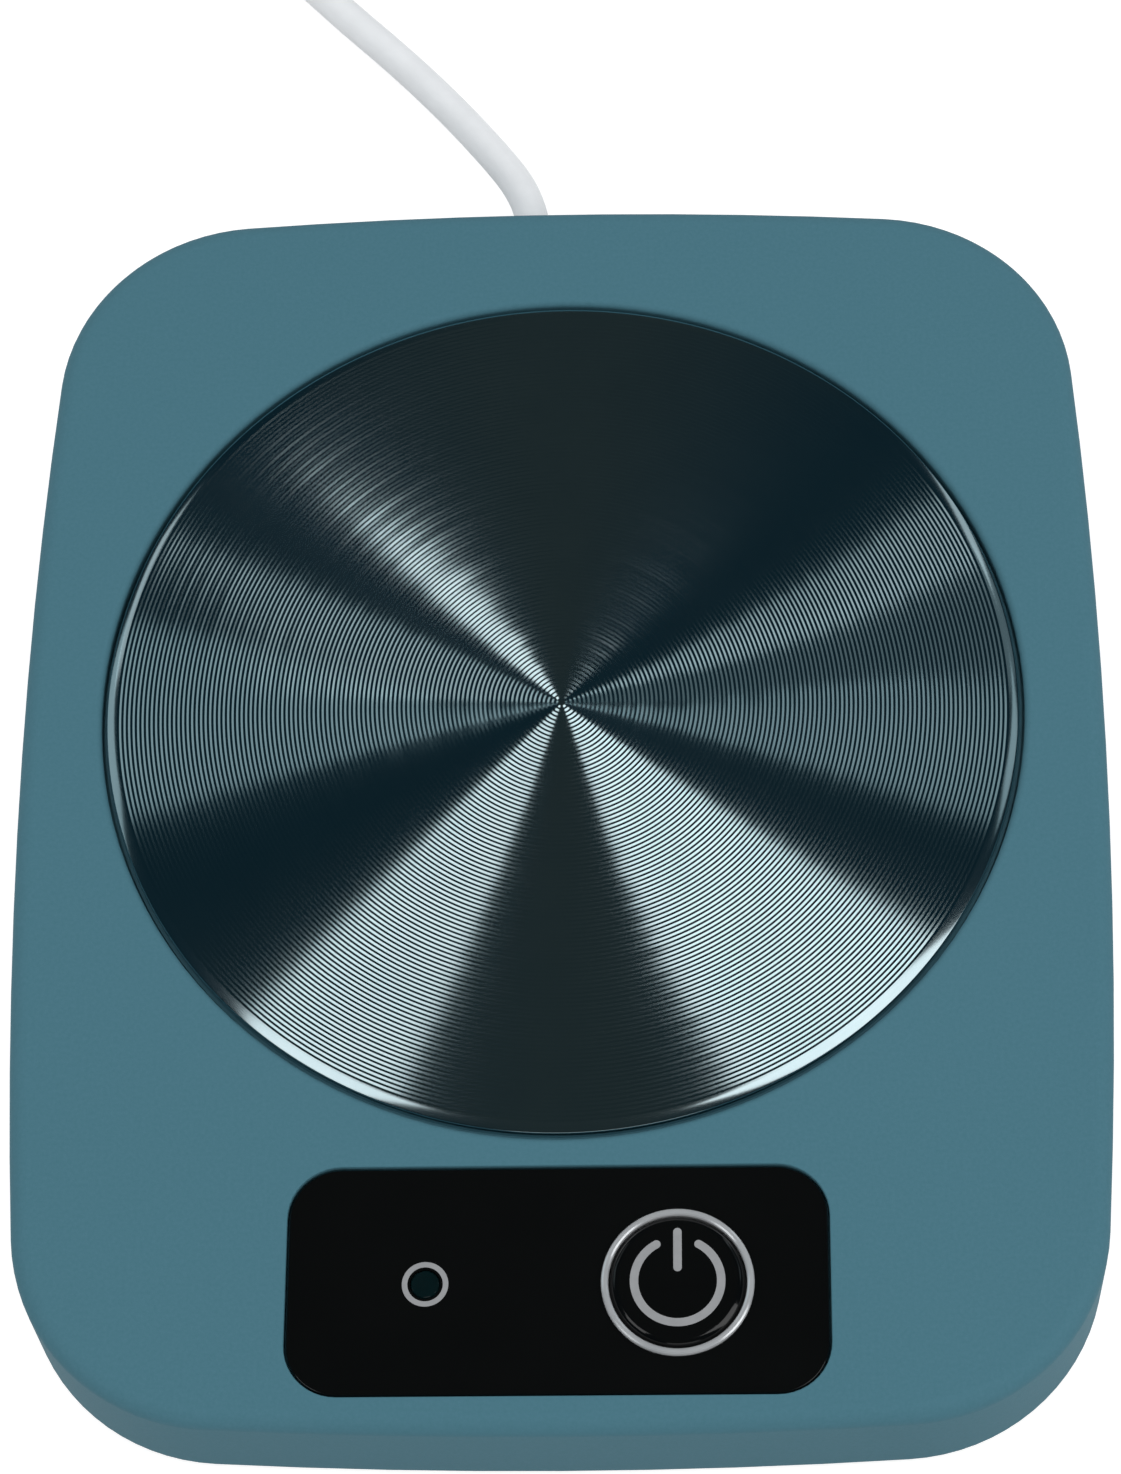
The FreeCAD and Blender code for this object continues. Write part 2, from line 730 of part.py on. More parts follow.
opening = new_sketch(shell, "plate_opening_outline", LEDGE_TOP)
add_circle(opening, "0", PLATE_Y, OPENING_RADIUS)
pocket_up(shell, "plate_opening", opening, f"Dims.shell_top - {LEDGE_TOP} + 1")
ledge_hole = new_sketch(shell, "ledge_hole_outline", f"{LEDGE_UNDER} - 1")
add_circle(ledge_hole, "0", PLATE_Y, LEDGE_RADIUS)
pocket_up(shell, "ledge_hole", ledge_hole, "Dims.ledge_thickness + 2")

panel_seat = new_sketch(shell, "panel_seat_outline", FLOOR_TOP)
add_rounded_box(
    panel_seat, "0", PANEL_Y,
    "Dims.panel_width + 2 * Dims.panel_gap",
    "Dims.panel_length + 2 * Dims.panel_gap",
    "Dims.panel_corner + Dims.panel_gap",
)
pocket_up(shell, "panel_seat", panel_seat, f"Dims.shell_top - {FLOOR_TOP} + 1")

panel_holes = new_sketch(shell, "panel_hole_outline", f"{FLOOR_UNDER} - 1")
add_circle(panel_holes, "Dims.button_x", KEYS_Y, f"{FLANGE_RADIUS} + 4 * Dims.button_clearance")
add_circle(panel_holes, "Dims.indicator_x", KEYS_Y, "Dims.lens_radius + Dims.bore_clearance")
pocket_up(shell, "panel_holes", panel_holes, "Dims.panel_floor + 2")

case_pilots = new_sketch(shell, "case_pilot_outline", f"{POST_TOP} - 1")
for boss_x, boss_y in corner_places(BOSS_X, BOSS_Y):
    add_circle(case_pilots, boss_x, boss_y, "Dims.case_screw_radius + Dims.pilot_clearance")
pocket_up(
    shell, "case_pilots", case_pilots,
    "Dims.case_screw_length - Dims.seat_web + Dims.screw_clearance + 1",
)
board_pilots = new_sketch(shell, "board_pilot_outline", "Dims.board_top - 1")
for boss_x, boss_y in corner_places(BOARD_BOSS_X, BOARD_BOSS_DY, PANEL_Y):
    add_circle(board_pilots, boss_x, boss_y, "Dims.board_screw_radius + Dims.pilot_clearance")
pocket_up(
    shell, "board_pilots", board_pilots,
    "Dims.board_screw_length - Dims.board_thickness + Dims.screw_clearance + 1",
)

cord_hole = new_sketch(shell, "cord_hole_outline", f"-({BACK_FACE} - 2 * Dims.wall)", "XZ_Plane")
add_circle(cord_hole, "Dims.exit_x", "Dims.exit_height", "Dims.grommet_neck + Dims.grommet_clearance")
hole_cut = shell.newObject("PartDesign::Pocket", "cord_hole")
hole_cut.Profile = cord_hole
hole_cut.setExpression("Length", "4 * Dims.wall")
doc.recompute()


def on_opening(edge):
    radius = value(OPENING_RADIUS)
    return lies_at(edge, dim("shell_top")) and abs(edge.BoundBox.XLength - 2 * radius) < 0.01


lip = fillet(
    shell, "opening_round_over", hole_cut, edges_where(shell.Shape, on_opening), "Dims.opening_round"
)


def on_panel_seat(edge):
    box = edge.BoundBox
    half = dim("panel_width") / 2 + dim("panel_gap") + 0.01
    reach = dim("panel_length") / 2 + dim("panel_gap") + 0.01
    beside = box.XMax < half and box.XMin > -half
    along = box.YMax < value(PANEL_Y) + reach and box.YMin > value(PANEL_Y) - reach
    return lies_at(edge, dim("shell_top")) and beside and along


fillet(shell, "panel_seat_round", lip, edges_where(shell.Shape, on_panel_seat), "Dims.panel_round")
export(shell)

# Bottom cover: a tray floor inside the skirt, with screw posts, ribs and the cord clamp's posts

cover = new_body("bottom_cover")
cover_outline = new_sketch(cover, "cover_outline", "Dims.foot_drop")
add_outline(cover_outline, "Dims.wall + Dims.cover_gap")
pad(cover, "cover_slab", cover_outline, "Dims.cover_thickness")

posts = new_sketch(cover, "case_post_outline", f"{COVER_TOP} - 0.5")
for post_x, post_y in corner_places(BOSS_X, BOSS_Y):
    add_circle(posts, post_x, post_y, "Dims.boss_radius + Dims.seat_web")
pad(cover, "case_posts", posts, f"{POST_TOP} - {COVER_TOP} + 0.5")

clamp_posts = new_sketch(cover, "clamp_post_outline", f"{COVER_TOP} - 0.5")
for side in (-1, 1):
    add_circle(
        clamp_posts, f"Dims.exit_x + {side} * Dims.clamp_post_offset", CLAMP_Y,
        "Dims.clamp_post_radius",
    )
pad(cover, "clamp_posts", clamp_posts, f"Dims.exit_height - {COVER_TOP} + 0.5")

saddle = new_sketch(cover, "cord_saddle_outline", f"{COVER_TOP} - 0.5")
add_box(saddle, "Dims.exit_x", CLAMP_Y, "Dims.cord_diameter", "Dims.clamp_width")
pad(
    cover, "cord_saddle", saddle,
    f"Dims.exit_height - {CORD_RADIUS} - Dims.bore_clearance - {COVER_TOP} + 0.5",
)

ribs = new_sketch(cover, "rib_outline", f"{COVER_TOP} - 0.5")
for side in (-1, 1):
    add_box(
        ribs, f"{side} * {BOSS_X}", "0", "Dims.rib_width",
        f"2 * ({BOSS_Y} - Dims.boss_radius - Dims.seat_web - Dims.rib_gap)",
    )
pad(cover, "floor_ribs", ribs, "Dims.rib_height + 0.5")

foot_seats = new_sketch(cover, "foot_seat_outline", "Dims.foot_drop - 1")
for foot_x, foot_y in corner_places(BOSS_X, BOSS_Y):
    add_circle(foot_seats, foot_x, foot_y, "Dims.foot_radius + Dims.foot_clearance")
pocket_up(cover, "foot_seats", foot_seats, "Dims.foot_recess + 1")
head_seats = new_sketch(cover, "head_seat_outline", "Dims.foot_drop")
for seat_x, seat_y in corner_places(BOSS_X, BOSS_Y):
    add_circle(head_seats, seat_x, seat_y, "Dims.case_head_radius + Dims.screw_clearance")
pocket_up(cover, "head_seats", head_seats, f"{HEAD_SEAT} - Dims.foot_drop")
screw_holes = new_sketch(cover, "screw_hole_outline", "Dims.foot_drop")
for hole_x, hole_y in corner_places(BOSS_X, BOSS_Y):
    add_circle(screw_holes, hole_x, hole_y, "Dims.case_screw_radius + Dims.screw_clearance")
pocket_up(cover, "screw_holes", screw_holes, f"{POST_TOP} - Dims.foot_drop + 1")
clamp_pilots = new_sketch(cover, "clamp_pilot_outline", COVER_TOP)
for side in (-1, 1):
    add_circle(
        clamp_pilots, f"Dims.exit_x + {side} * Dims.clamp_post_offset", CLAMP_Y,
        "Dims.clamp_screw_radius",
    )
pocket_up(cover, "clamp_pilots", clamp_pilots, f"Dims.exit_height - {COVER_TOP} + 1")
grommet_relief = new_sketch(cover, "grommet_relief_outline", f"{COVER_TOP} - Dims.cover_thickness * 0.7")
add_box(
    grommet_relief, "Dims.exit_x", BACK_FACE,
    "2 * Dims.grommet_flange + 1", "2 * (Dims.wall + Dims.grommet_lip) + 2",
)
pocket_up(cover, "grommet_relief", grommet_relief, "Dims.cover_thickness")
export(cover)

# Rubber feet over the housing screws

foot_profile = [
    ("0", "0"),
    ("Dims.foot_radius - Dims.foot_round", "0"),
    ("Dims.foot_radius", "Dims.foot_round"),
    ("Dims.foot_radius", FOOT_SEAT),
    ("0", FOOT_SEAT),
]
feet = [
    turned_body(f"foot_{i}", foot_profile, x, y)
    for i, (x, y) in enumerate(corner_places(BOSS_X, BOSS_Y), start=1)
]
export(grouped("rubber_feet", feet))
screws(
    "case_screws", corner_places(BOSS_X, BOSS_Y), HEAD_SEAT,
    "Dims.case_head_radius", "Dims.case_head_height", "Dims.case_screw_radius",
    "Dims.case_screw_length",
)

# Heating plate: turned face with a plain sloping rim, and four studs for the shield screws


def turned_plate():
    top, under = value(PLATE_TOP), value(PLATE_UNDER)
    radius, rim = dim("plate_radius"), dim("rim_width")
    pitch, depth, flank = dim("groove_pitch"), dim("groove_depth"), dim("groove_outer_flank")
    grooves = int((radius - rim) / pitch)
    first_crest = radius - rim - grooves * pitch
    profile = [Vector(0, 0, under), Vector(0, 0, top)]
    for groove in range(grooves):
        crest = first_crest + groove * pitch
        profile.append(Vector(crest, 0, top))
        profile.append(Vector(crest + flank, 0, top - depth))
    profile.append(Vector(radius - rim, 0, top))
    profile.append(Vector(radius, 0, top - dim("rim_drop")))
    profile.append(Vector(radius, 0, under))
    profile.append(profile[0])
    disc = Part.Face(Part.makePolygon(profile)).revolve(Vector(0, 0, 0), UP, 360)
    stud_length = under - value(LEDGE_UNDER)
    for quarter in range(4):
        angle = math.radians(45 + 90 * quarter)
        place = Vector(math.cos(angle), math.sin(angle), 0) * value(STUD_CIRCLE)
        place.z = under - stud_length
        stud = Part.makeCylinder(dim("stud_radius"), stud_length, place)
        drilled = dim("shield_screw_length") - dim("shield_thickness") + dim("screw_clearance")
        hole = Part.makeCylinder(dim("shield_screw_radius"), drilled, place)
        disc = disc.fuse(stud).cut(hole)
    return disc


plate = doc.addObject("Part::Feature", "heating_plate")
plate.Shape = turned_plate()
plate.setExpression("Placement.Base.y", PLATE_Y)
export(plate)

export(turned_body(
    "plate_gasket",
    ring_points(
        f"{LEDGE_RADIUS} + Dims.gasket_gap", f"{OPENING_RADIUS} - Dims.gasket_gap", LEDGE_TOP, PLATE_UNDER
    ),
    "0", PLATE_Y,
))

# Heater stack: film, insulation pad and pressed shield, with a port for the leads and one for the sensor

SENSOR_FRONT = f"({PLATE_Y} + Dims.sensor_back - Dims.sensor_length / 2)"
LEAD_PORT_X = "(-Dims.lead_port_side)"
LEAD_PORT_Y = f"({PLATE_Y} - Dims.lead_port_forward)"
FUSE_X = "Dims.fuse_side"
FUSE_Y = f"({PLATE_Y} - Dims.fuse_forward)"


def stack_layer(label, low, thickness, radius, port):
    layer = new_body(label)
    sketch = new_sketch(layer, f"{label}_outline", low)
    add_circle(sketch, "0", PLATE_Y, radius)
    add_circle(sketch, "0", PLATE_Y, port)
    pad(layer, f"{label}_pad", sketch, thickness)
    return layer


film = stack_layer(
    "heating_film", FILM_UNDER, "Dims.film_thickness", "Dims.film_radius", "Dims.port_radius"
)
export(film)

pad_layer = stack_layer(
    "insulation_pad", PAD_UNDER, "Dims.pad_thickness", "Dims.film_radius", "Dims.port_radius"
)
pad_ports = new_sketch(pad_layer, "insulation_port_outline", f"{PAD_UNDER} - 1")
add_circle(pad_ports, LEAD_PORT_X, LEAD_PORT_Y, "Dims.port_radius")
add_box(
    pad_ports, FUSE_X, FUSE_Y, "2 * (Dims.fuse_radius + Dims.stack_clearance)",
    "Dims.fuse_length + 2 * (Dims.fuse_tail + Dims.stack_clearance)",
)
pocket_up(pad_layer, "insulation_ports", pad_ports, "Dims.pad_thickness + 2")
export(pad_layer)

FLANGE_EDGE = f"({OPENING_RADIUS} - Dims.shield_rim)"
shield = turned_body(
    "heat_shield",
    [
        ("0", SHIELD_UNDER),
        (DISH_OUTER, SHIELD_UNDER),
        (DISH_OUTER, f"{LEDGE_UNDER} - Dims.shield_thickness"),
        (FLANGE_EDGE, f"{LEDGE_UNDER} - Dims.shield_thickness"),
        (FLANGE_EDGE, LEDGE_UNDER),
        (DISH_INNER, LEDGE_UNDER),
        (DISH_INNER, PAD_UNDER),
        ("0", PAD_UNDER),
    ],
    "0", PLATE_Y,
)
shield_holes = new_sketch(shield, "shield_hole_outline", f"{SHIELD_UNDER} - 1")
add_circle(shield_holes, "0", "0", "Dims.port_radius - Dims.stack_clearance")
add_circle(shield_holes, LEAD_PORT_X, "-Dims.lead_port_forward", "Dims.port_radius")
for stud_x, stud_y in corner_places(STUD_OFFSET, STUD_OFFSET):
    add_circle(shield_holes, stud_x, stud_y, "Dims.shield_screw_radius + Dims.screw_clearance")
pocket_up(shield, "shield_holes", shield_holes, "Dims.pad_thickness + 4")
export(shield)

screws(
    "shield_screws",
    corner_places(STUD_OFFSET, STUD_OFFSET, PLATE_Y),
    f"({LEDGE_UNDER} - Dims.shield_thickness)",
    "Dims.shield_head_radius", "Dims.shield_head_height", "Dims.shield_screw_radius",
    "Dims.shield_screw_length",
)

# Temperature sensor against the plate, and the thermal fuse against the film

sensor = rod_along_y(
    "thermistor", "0", SENSOR_FRONT,
    f"{PLATE_UNDER} - Dims.sensor_radius", "Dims.sensor_radius", "Dims.sensor_length",
)
export(sensor)

FUSE_Z = f"({FILM_UNDER} - Dims.fuse_radius)"
fuse_can = rod_along_y(
    "fuse_can", FUSE_X, f"{FUSE_Y} - Dims.fuse_length / 2", FUSE_Z, "Dims.fuse_radius", "Dims.fuse_length"
)
fuse_wire = rod_along_y(
    "fuse_wire", FUSE_X, f"{FUSE_Y} - Dims.fuse_length / 2 - Dims.fuse_tail", FUSE_Z,
    "Dims.sensor_lead_diameter / 2", "Dims.fuse_length + 2 * Dims.fuse_tail",
)
export(joined("thermal_fuse", [fuse_can, fuse_wire]))

# Control panel with its glue, ring print and lens

panel = padded_body(
    "control_panel", PANEL_UNDER, "Dims.panel_thickness",
    lambda sketch: add_rounded_box(
        sketch, "0", PANEL_Y, "Dims.panel_width", "Dims.panel_length", "Dims.panel_corner"
    ),
)
through = new_sketch(panel, "panel_through_outline", f"{PANEL_UNDER} - 1")
add_circle(through, "Dims.button_x", KEYS_Y, f"{SLEEVE_OUTER} + Dims.bore_clearance")
add_circle(through, "Dims.indicator_x", KEYS_Y, "Dims.lens_radius + Dims.bore_clearance")
pocket_up(panel, "panel_through", through, "Dims.panel_thickness + 2")
ring_seat = new_sketch(panel, "ring_seat_outline", f"{PANEL_TOP} - Dims.ring_depth")
add_circle(ring_seat, "Dims.indicator_x", KEYS_Y, "Dims.ring_inner")
add_circle(ring_seat, "Dims.indicator_x", KEYS_Y, "Dims.ring_outer")
seat_cut = pocket_up(panel, "ring_seat", ring_seat, "Dims.ring_depth + 1")


def on_panel_rim(edge):
    box = edge.BoundBox
    middle = Vector(dim("button_x"), value(KEYS_Y), box.Center.z)
    lens = Vector(dim("indicator_x"), value(KEYS_Y), box.Center.z)
    apart = min((box.Center - middle).Length, (box.Center - lens).Length)
    return lies_at(edge, value(PANEL_TOP)) and apart > 0.01


fillet(panel, "panel_rim_round", seat_cut, edges_where(panel.Shape, on_panel_rim), "Dims.panel_round")
export(panel)

glue = padded_body(
    "panel_adhesive", FLOOR_TOP, "Dims.glue_thickness",
    lambda sketch: add_rounded_box(
        sketch, "0", PANEL_Y,
        "Dims.panel_width - 2 * Dims.glue_inset", "Dims.panel_length - 2 * Dims.glue_inset",
        "Dims.panel_corner - Dims.glue_inset",
    ),
)
glue_holes = new_sketch(glue, "glue_hole_outline", f"{FLOOR_TOP} - 1")
add_circle(glue_holes, "Dims.button_x", KEYS_Y, f"{FLANGE_RADIUS} + 6 * Dims.button_clearance")
add_circle(glue_holes, "Dims.indicator_x", KEYS_Y, "Dims.lens_radius + Dims.glue_inset")
pocket_up(glue, "glue_holes", glue_holes, "Dims.glue_thickness + 2")
export(glue)

export(turned_body(
    "indicator_ring",
    ring_points("Dims.ring_inner", "Dims.ring_outer", f"{PANEL_TOP} - Dims.ring_depth", PANEL_TOP),
    "Dims.indicator_x", KEYS_Y,
))

LED_TOP = "(Dims.board_top + Dims.led_height)"
export(turned_body(
    "indicator_lens",
    [
        ("0", f"{LED_TOP} + Dims.stack_clearance"),
        ("Dims.lens_radius", f"{LED_TOP} + Dims.stack_clearance"),
        ("Dims.lens_radius", f"{PANEL_TOP} - Dims.panel_round"),
        ("Dims.lens_radius - Dims.panel_round", PANEL_TOP),
        ("0", PANEL_TOP),
    ],
    "Dims.indicator_x", KEYS_Y,
))
export(turned_body(
    "indicator_led",
    [
        ("0", "Dims.board_top"),
        ("Dims.led_radius * 1.15", "Dims.board_top"),
        ("Dims.led_radius * 1.15", "Dims.board_top + Dims.led_height * 0.25"),
        ("Dims.led_radius", "Dims.board_top + Dims.led_height * 0.25"),
        ("Dims.led_radius", "Dims.board_top + Dims.led_height * 0.6"),
        ("Dims.led_radius * 0.7", "Dims.board_top + Dims.led_height * 0.9"),
        ("0", LED_TOP),
    ],
    "Dims.indicator_x", KEYS_Y,
))

# Power button: bright bezel pressed into the panel, and the cap that slides in it

BEZEL_TOP = f"({PANEL_TOP} + Dims.bezel_rise)"
BEZEL_EDGE = f"({SLEEVE_INNER} + Dims.bezel_width)"
export(turned_body(
    "button_bezel",
    [
        (SLEEVE_INNER, FLOOR_TOP),
        (SLEEVE_OUTER, FLOOR_TOP),
        (SLEEVE_OUTER, PANEL_TOP),
        (BEZEL_EDGE, PANEL_TOP),
        (BEZEL_EDGE, f"{PANEL_TOP} + Dims.bezel_rise * 0.45"),
        (f"{BEZEL_EDGE} - Dims.bezel_width * 0.12", f"{PANEL_TOP} + Dims.bezel_rise * 0.8"),
        (f"{BEZEL_EDGE} - Dims.bezel_width * 0.35", BEZEL_TOP),
        (f"{SLEEVE_INNER} + Dims.bezel_width * 0.35", BEZEL_TOP),
        (f"{SLEEVE_INNER} + Dims.bezel_width * 0.12", f"{PANEL_TOP} + Dims.bezel_rise * 0.8"),
        (SLEEVE_INNER, f"{PANEL_TOP} + Dims.bezel_rise * 0.45"),
    ],
    "Dims.button_x", KEYS_Y,
))

BUTTON_TOP = f"({PANEL_TOP} + Dims.button_rise)"
STEM_FOOT = f"({PLUNGER_TOP} + Dims.plunger_clearance)"
SYMBOL_INNER = "(Dims.symbol_radius - Dims.symbol_stroke / 2)"
SYMBOL_OUTER = "(Dims.symbol_radius + Dims.symbol_stroke / 2)"


def symbol_solid(depth):
    # broken ring with round ends, and an upright bar with round ends in its gap
    radius, stroke = dim("symbol_radius"), dim("symbol_stroke")
    gap = math.radians(dim("symbol_gap_angle"))
    half = stroke / 2
    level = value(BUTTON_TOP) - depth

    def polar(distance, angle):
        return Vector(distance * math.sin(angle), distance * math.cos(angle), level)

    inner, outer = radius - half, radius + half
    tip_turn = half / radius
    arcs = [
        Part.Arc(polar(outer, gap), polar(outer, math.pi), polar(outer, -gap)),
        Part.Arc(polar(outer, -gap), polar(radius, -gap + tip_turn), polar(inner, -gap)),
        Part.Arc(polar(inner, -gap), polar(inner, math.pi), polar(inner, gap)),
        Part.Arc(polar(inner, gap), polar(radius, gap - tip_turn), polar(outer, gap)),
    ]
    ring = Part.Face(Part.Wire([arc.toShape() for arc in arcs])).extrude(Vector(0, 0, depth))
    low, high = dim("symbol_bar_low") + half, dim("symbol_bar_high") - half
    edges = [
        Part.LineSegment(Vector(half, low, level), Vector(half, high, level)),
        Part.Arc(Vector(half, high, level), Vector(0, high + half, level), Vector(-half, high, level)),
        Part.LineSegment(Vector(-half, high, level), Vector(-half, low, level)),
        Part.Arc(Vector(-half, low, level), Vector(0, low - half, level), Vector(half, low, level)),
    ]
    bar = Part.Face(Part.Wire([edge.toShape() for edge in edges])).extrude(Vector(0, 0, depth))
    return Part.makeCompound([ring, bar])


cap = turned_body(
    "cap_blank",
    [
        ("0", STEM_FOOT),
        ("Dims.stem_radius", STEM_FOOT),
        ("Dims.stem_radius", f"{FLANGE_TOP} - Dims.button_flange_thickness"),
        (FLANGE_RADIUS, f"{FLANGE_TOP} - Dims.button_flange_thickness"),
        (FLANGE_RADIUS, FLANGE_TOP),
        ("Dims.button_radius", FLANGE_TOP),
        ("Dims.button_radius", BUTTON_TOP),
        ("0", BUTTON_TOP),
    ],
)
cap_edges = edges_where(cap.Shape, lambda edge: lies_at(edge, value(BUTTON_TOP)))
fillet(cap, "cap_round", cap.Tip, cap_edges, "Dims.button_round")
symbol_tool = doc.addObject("Part::Feature", "symbol_tool")
symbol_tool.Shape = symbol_solid(dim("symbol_depth"))
button = cut("power_button", cap, symbol_tool)
button.setExpression("Placement.Base.x", "Dims.button_x")
button.setExpression("Placement.Base.y", KEYS_Y)
export(button)
symbol = doc.addObject("Part::Feature", "power_symbol")
symbol.Shape = symbol_solid(dim("symbol_depth"))
symbol.setExpression("Placement.Base.x", "Dims.button_x")
symbol.setExpression("Placement.Base.y", KEYS_Y)
export(symbol)

# Switch: moulded box, steel cover, plunger and snap dome

switch_box = block(
    "switch_box", "Dims.button_x", KEYS_Y, "Dims.board_top",
    "Dims.switch_size", "Dims.switch_size", "Dims.switch_height - Dims.switch_cover",
)
switch_bore = rod(
    "switch_bore", "Dims.button_x", KEYS_Y, "Dims.board_top + Dims.switch_cover",
    "Dims.dome_radius + 2 * Dims.plunger_clearance", "Dims.switch_height",
)
export(cut("switch_body", switch_box, switch_bore))
cover_plate = block(
    "switch_plate", "Dims.button_x", KEYS_Y, SWITCH_RIM,
    "Dims.switch_size", "Dims.switch_size", "Dims.switch_cover",
)
cover_hole = rod(
    "switch_plate_hole", "Dims.button_x", KEYS_Y, f"{SWITCH_RIM} - 1",
    "Dims.plunger_radius + Dims.plunger_clearance", "Dims.switch_cover + 2",
)
export(cut("switch_cover_plate", cover_plate, cover_hole), "switch_cover")
export(turned_body(
    "switch_plunger",
    [
        ("0", PLUNGER_FOOT),
        ("Dims.dome_radius - Dims.plunger_clearance", PLUNGER_FOOT),
        ("Dims.dome_radius - Dims.plunger_clearance", f"{SWITCH_RIM} - Dims.plunger_clearance"),
        ("Dims.plunger_radius", f"{SWITCH_RIM} - Dims.plunger_clearance"),
        ("Dims.plunger_radius", PLUNGER_TOP),
        ("0", PLUNGER_TOP),
    ],
    "Dims.button_x", KEYS_Y,
))


def snap_dome():
    # shallow spherical shell that stands on its edge
    radius, height, metal = dim("dome_radius"), dim("dome_height"), dim("dome_metal")
    seat = value(DOME_SEAT)
    ball = (radius ** 2 + height ** 2) / (2 * height)
    middle = Vector(0, 0, seat + height - ball)
    outer = Part.makeSphere(ball, middle)
    inner = Part.makeSphere(ball - metal, middle)
    slab = Part.makeCylinder(radius * 1.5, height * 2, Vector(0, 0, seat))
    return outer.cut(inner).common(slab)


dome = doc.addObject("Part::Feature", "switch_dome")
dome.Shape = snap_dome()
dome.setExpression("Placement.Base.x", "Dims.button_x")
dome.setExpression("Placement.Base.y", KEYS_Y)
export(dome)

# Circuit board, its screws and its components

board = padded_body(
    "circuit_board", BOARD_UNDER, "Dims.board_thickness",
    lambda sketch: add_box(sketch, "0", PANEL_Y, "Dims.board_width", "Dims.board_length"),
)
board_holes = new_sketch(board, "board_hole_outline", f"{BOARD_UNDER} - 1")
for hole_x, hole_y in corner_places(BOARD_BOSS_X, BOARD_BOSS_DY, PANEL_Y):
    add_circle(board_holes, hole_x, hole_y, "Dims.board_screw_radius + Dims.screw_clearance")
pocket_up(board, "board_holes", board_holes, "Dims.board_thickness + 2")
export(board)
screws(
    "board_screws", corner_places(BOARD_BOSS_X, BOARD_BOSS_DY, PANEL_Y), BOARD_UNDER,
    "Dims.board_head_radius", "Dims.board_head_height", "Dims.board_screw_radius",
    "Dims.board_screw_length",
)

CHIP_X = "Dims.chip_side"
CHIP_Y = f"({PANEL_Y} - Dims.chip_forward)"
PIN_REACH = "(Dims.chip_length / 2 + Dims.chip_pin)"
chip_parts = [
    block(
        "chip_case", CHIP_X, CHIP_Y, "Dims.board_top + Dims.chip_pin / 2",
        "Dims.chip_width", "Dims.chip_length", "Dims.chip_height - Dims.chip_pin / 2",
    )
]
for pin in range(4):
    for side in (-1, 1):
        chip_parts.append(block(
            f"chip_pin_{pin}_{side}", f"{CHIP_X} + ({pin} - 1.5) * Dims.chip_pin_pitch",
            f"{CHIP_Y} + {side} * {PIN_REACH}", "Dims.board_top",
            "Dims.chip_pin", "3 * Dims.chip_pin", "Dims.chip_pin",
        ))
export(joined("controller_chip", chip_parts))

POWER_X = "Dims.transistor_side"
POWER_Y = f"({PANEL_Y} - Dims.transistor_forward)"
POWER_EDGE = "(Dims.transistor_length / 2)"
power_parts = [
    block(
        "transistor_case", POWER_X, POWER_Y, "Dims.board_top + Dims.transistor_pin / 4",
        "Dims.transistor_width", "Dims.transistor_length", "Dims.transistor_height",
    ),
    block(
        "transistor_tab", POWER_X, f"{POWER_Y} + {POWER_EDGE}", "Dims.board_top",
        "Dims.transistor_width / 2", "2 * Dims.transistor_pin", "Dims.transistor_pin / 2",
    ),
]
for pin in (-1, 0, 1):
    power_parts.append(block(
        f"transistor_pin_{pin}", f"{POWER_X} + {pin} * Dims.transistor_width / 3",
        f"{POWER_Y} - {POWER_EDGE}", "Dims.board_top",
        "Dims.transistor_pin", "2 * Dims.transistor_pin", "Dims.transistor_pin / 2",
    ))
export(joined("power_transistor", power_parts))

CAN_TOP = "(Dims.board_top + Dims.capacitor_height)"
export(turned_body(
    "filter_capacitor",
    [
        ("0", "Dims.board_top"),
        ("Dims.capacitor_radius", "Dims.board_top"),
        ("Dims.capacitor_radius", "Dims.board_top + Dims.capacitor_height / 8"),
        ("Dims.capacitor_radius * 0.9", "Dims.board_top + Dims.capacitor_height / 5"),
        ("Dims.capacitor_radius * 0.9", f"{CAN_TOP} - Dims.capacitor_radius / 10"),
        ("Dims.capacitor_radius * 0.8", CAN_TOP),
        ("0", CAN_TOP),
    ],
    "Dims.capacitor_side", f"{PANEL_Y} - Dims.capacitor_forward",
))
export(grouped("chip_resistors", [
    block(
        f"resistor_{i}", f"{CHIP_X} + ({i % 3} - 1) * Dims.resistor_pitch",
        f"{CHIP_Y} + {PIN_REACH} + 4 * Dims.chip_pin + {i // 3 + 0.5} * Dims.resistor_pitch",
        "Dims.board_top", "Dims.resistor_length", "Dims.resistor_width", "Dims.resistor_height",
    )
    for i in range(6)
]))

# Board connectors beside the board's screw bosses, along the edge that faces the plate

CONNECTOR_FACE = f"({PANEL_Y} + Dims.board_length / 2)"
CONNECTOR_Y = f"({CONNECTOR_FACE} - Dims.connector_length / 2)"
BESIDE_BOSS = f"({BOARD_BOSS_X} - Dims.board_boss_radius - Dims.part_gap)"
HEATER_PLUG_X = f"(Dims.heater_connector_width / 2 - {BESIDE_BOSS})"
SUPPLY_PLUG_X = f"({BESIDE_BOSS} - Dims.supply_connector_width / 2)"


def connector(label, x, width):
    housing = block(
        f"{label}_housing", x, CONNECTOR_Y, "Dims.board_top",
        width, "Dims.connector_length", "Dims.connector_height",
    )
    trough = block(
        f"{label}_trough", x, f"{CONNECTOR_FACE} - Dims.connector_length",
        "Dims.board_top + Dims.connector_wall",
        f"{width} - 2 * Dims.connector_wall", "Dims.connector_length", "Dims.connector_height",
    )
    return export(cut(label, housing, trough))


connector("heater_connector", HEATER_PLUG_X, "Dims.heater_connector_width")
connector("supply_connector", SUPPLY_PLUG_X, "Dims.supply_connector_width")

# Inner leads from the connectors: two to the film, two to the sensor, two to the supply cord

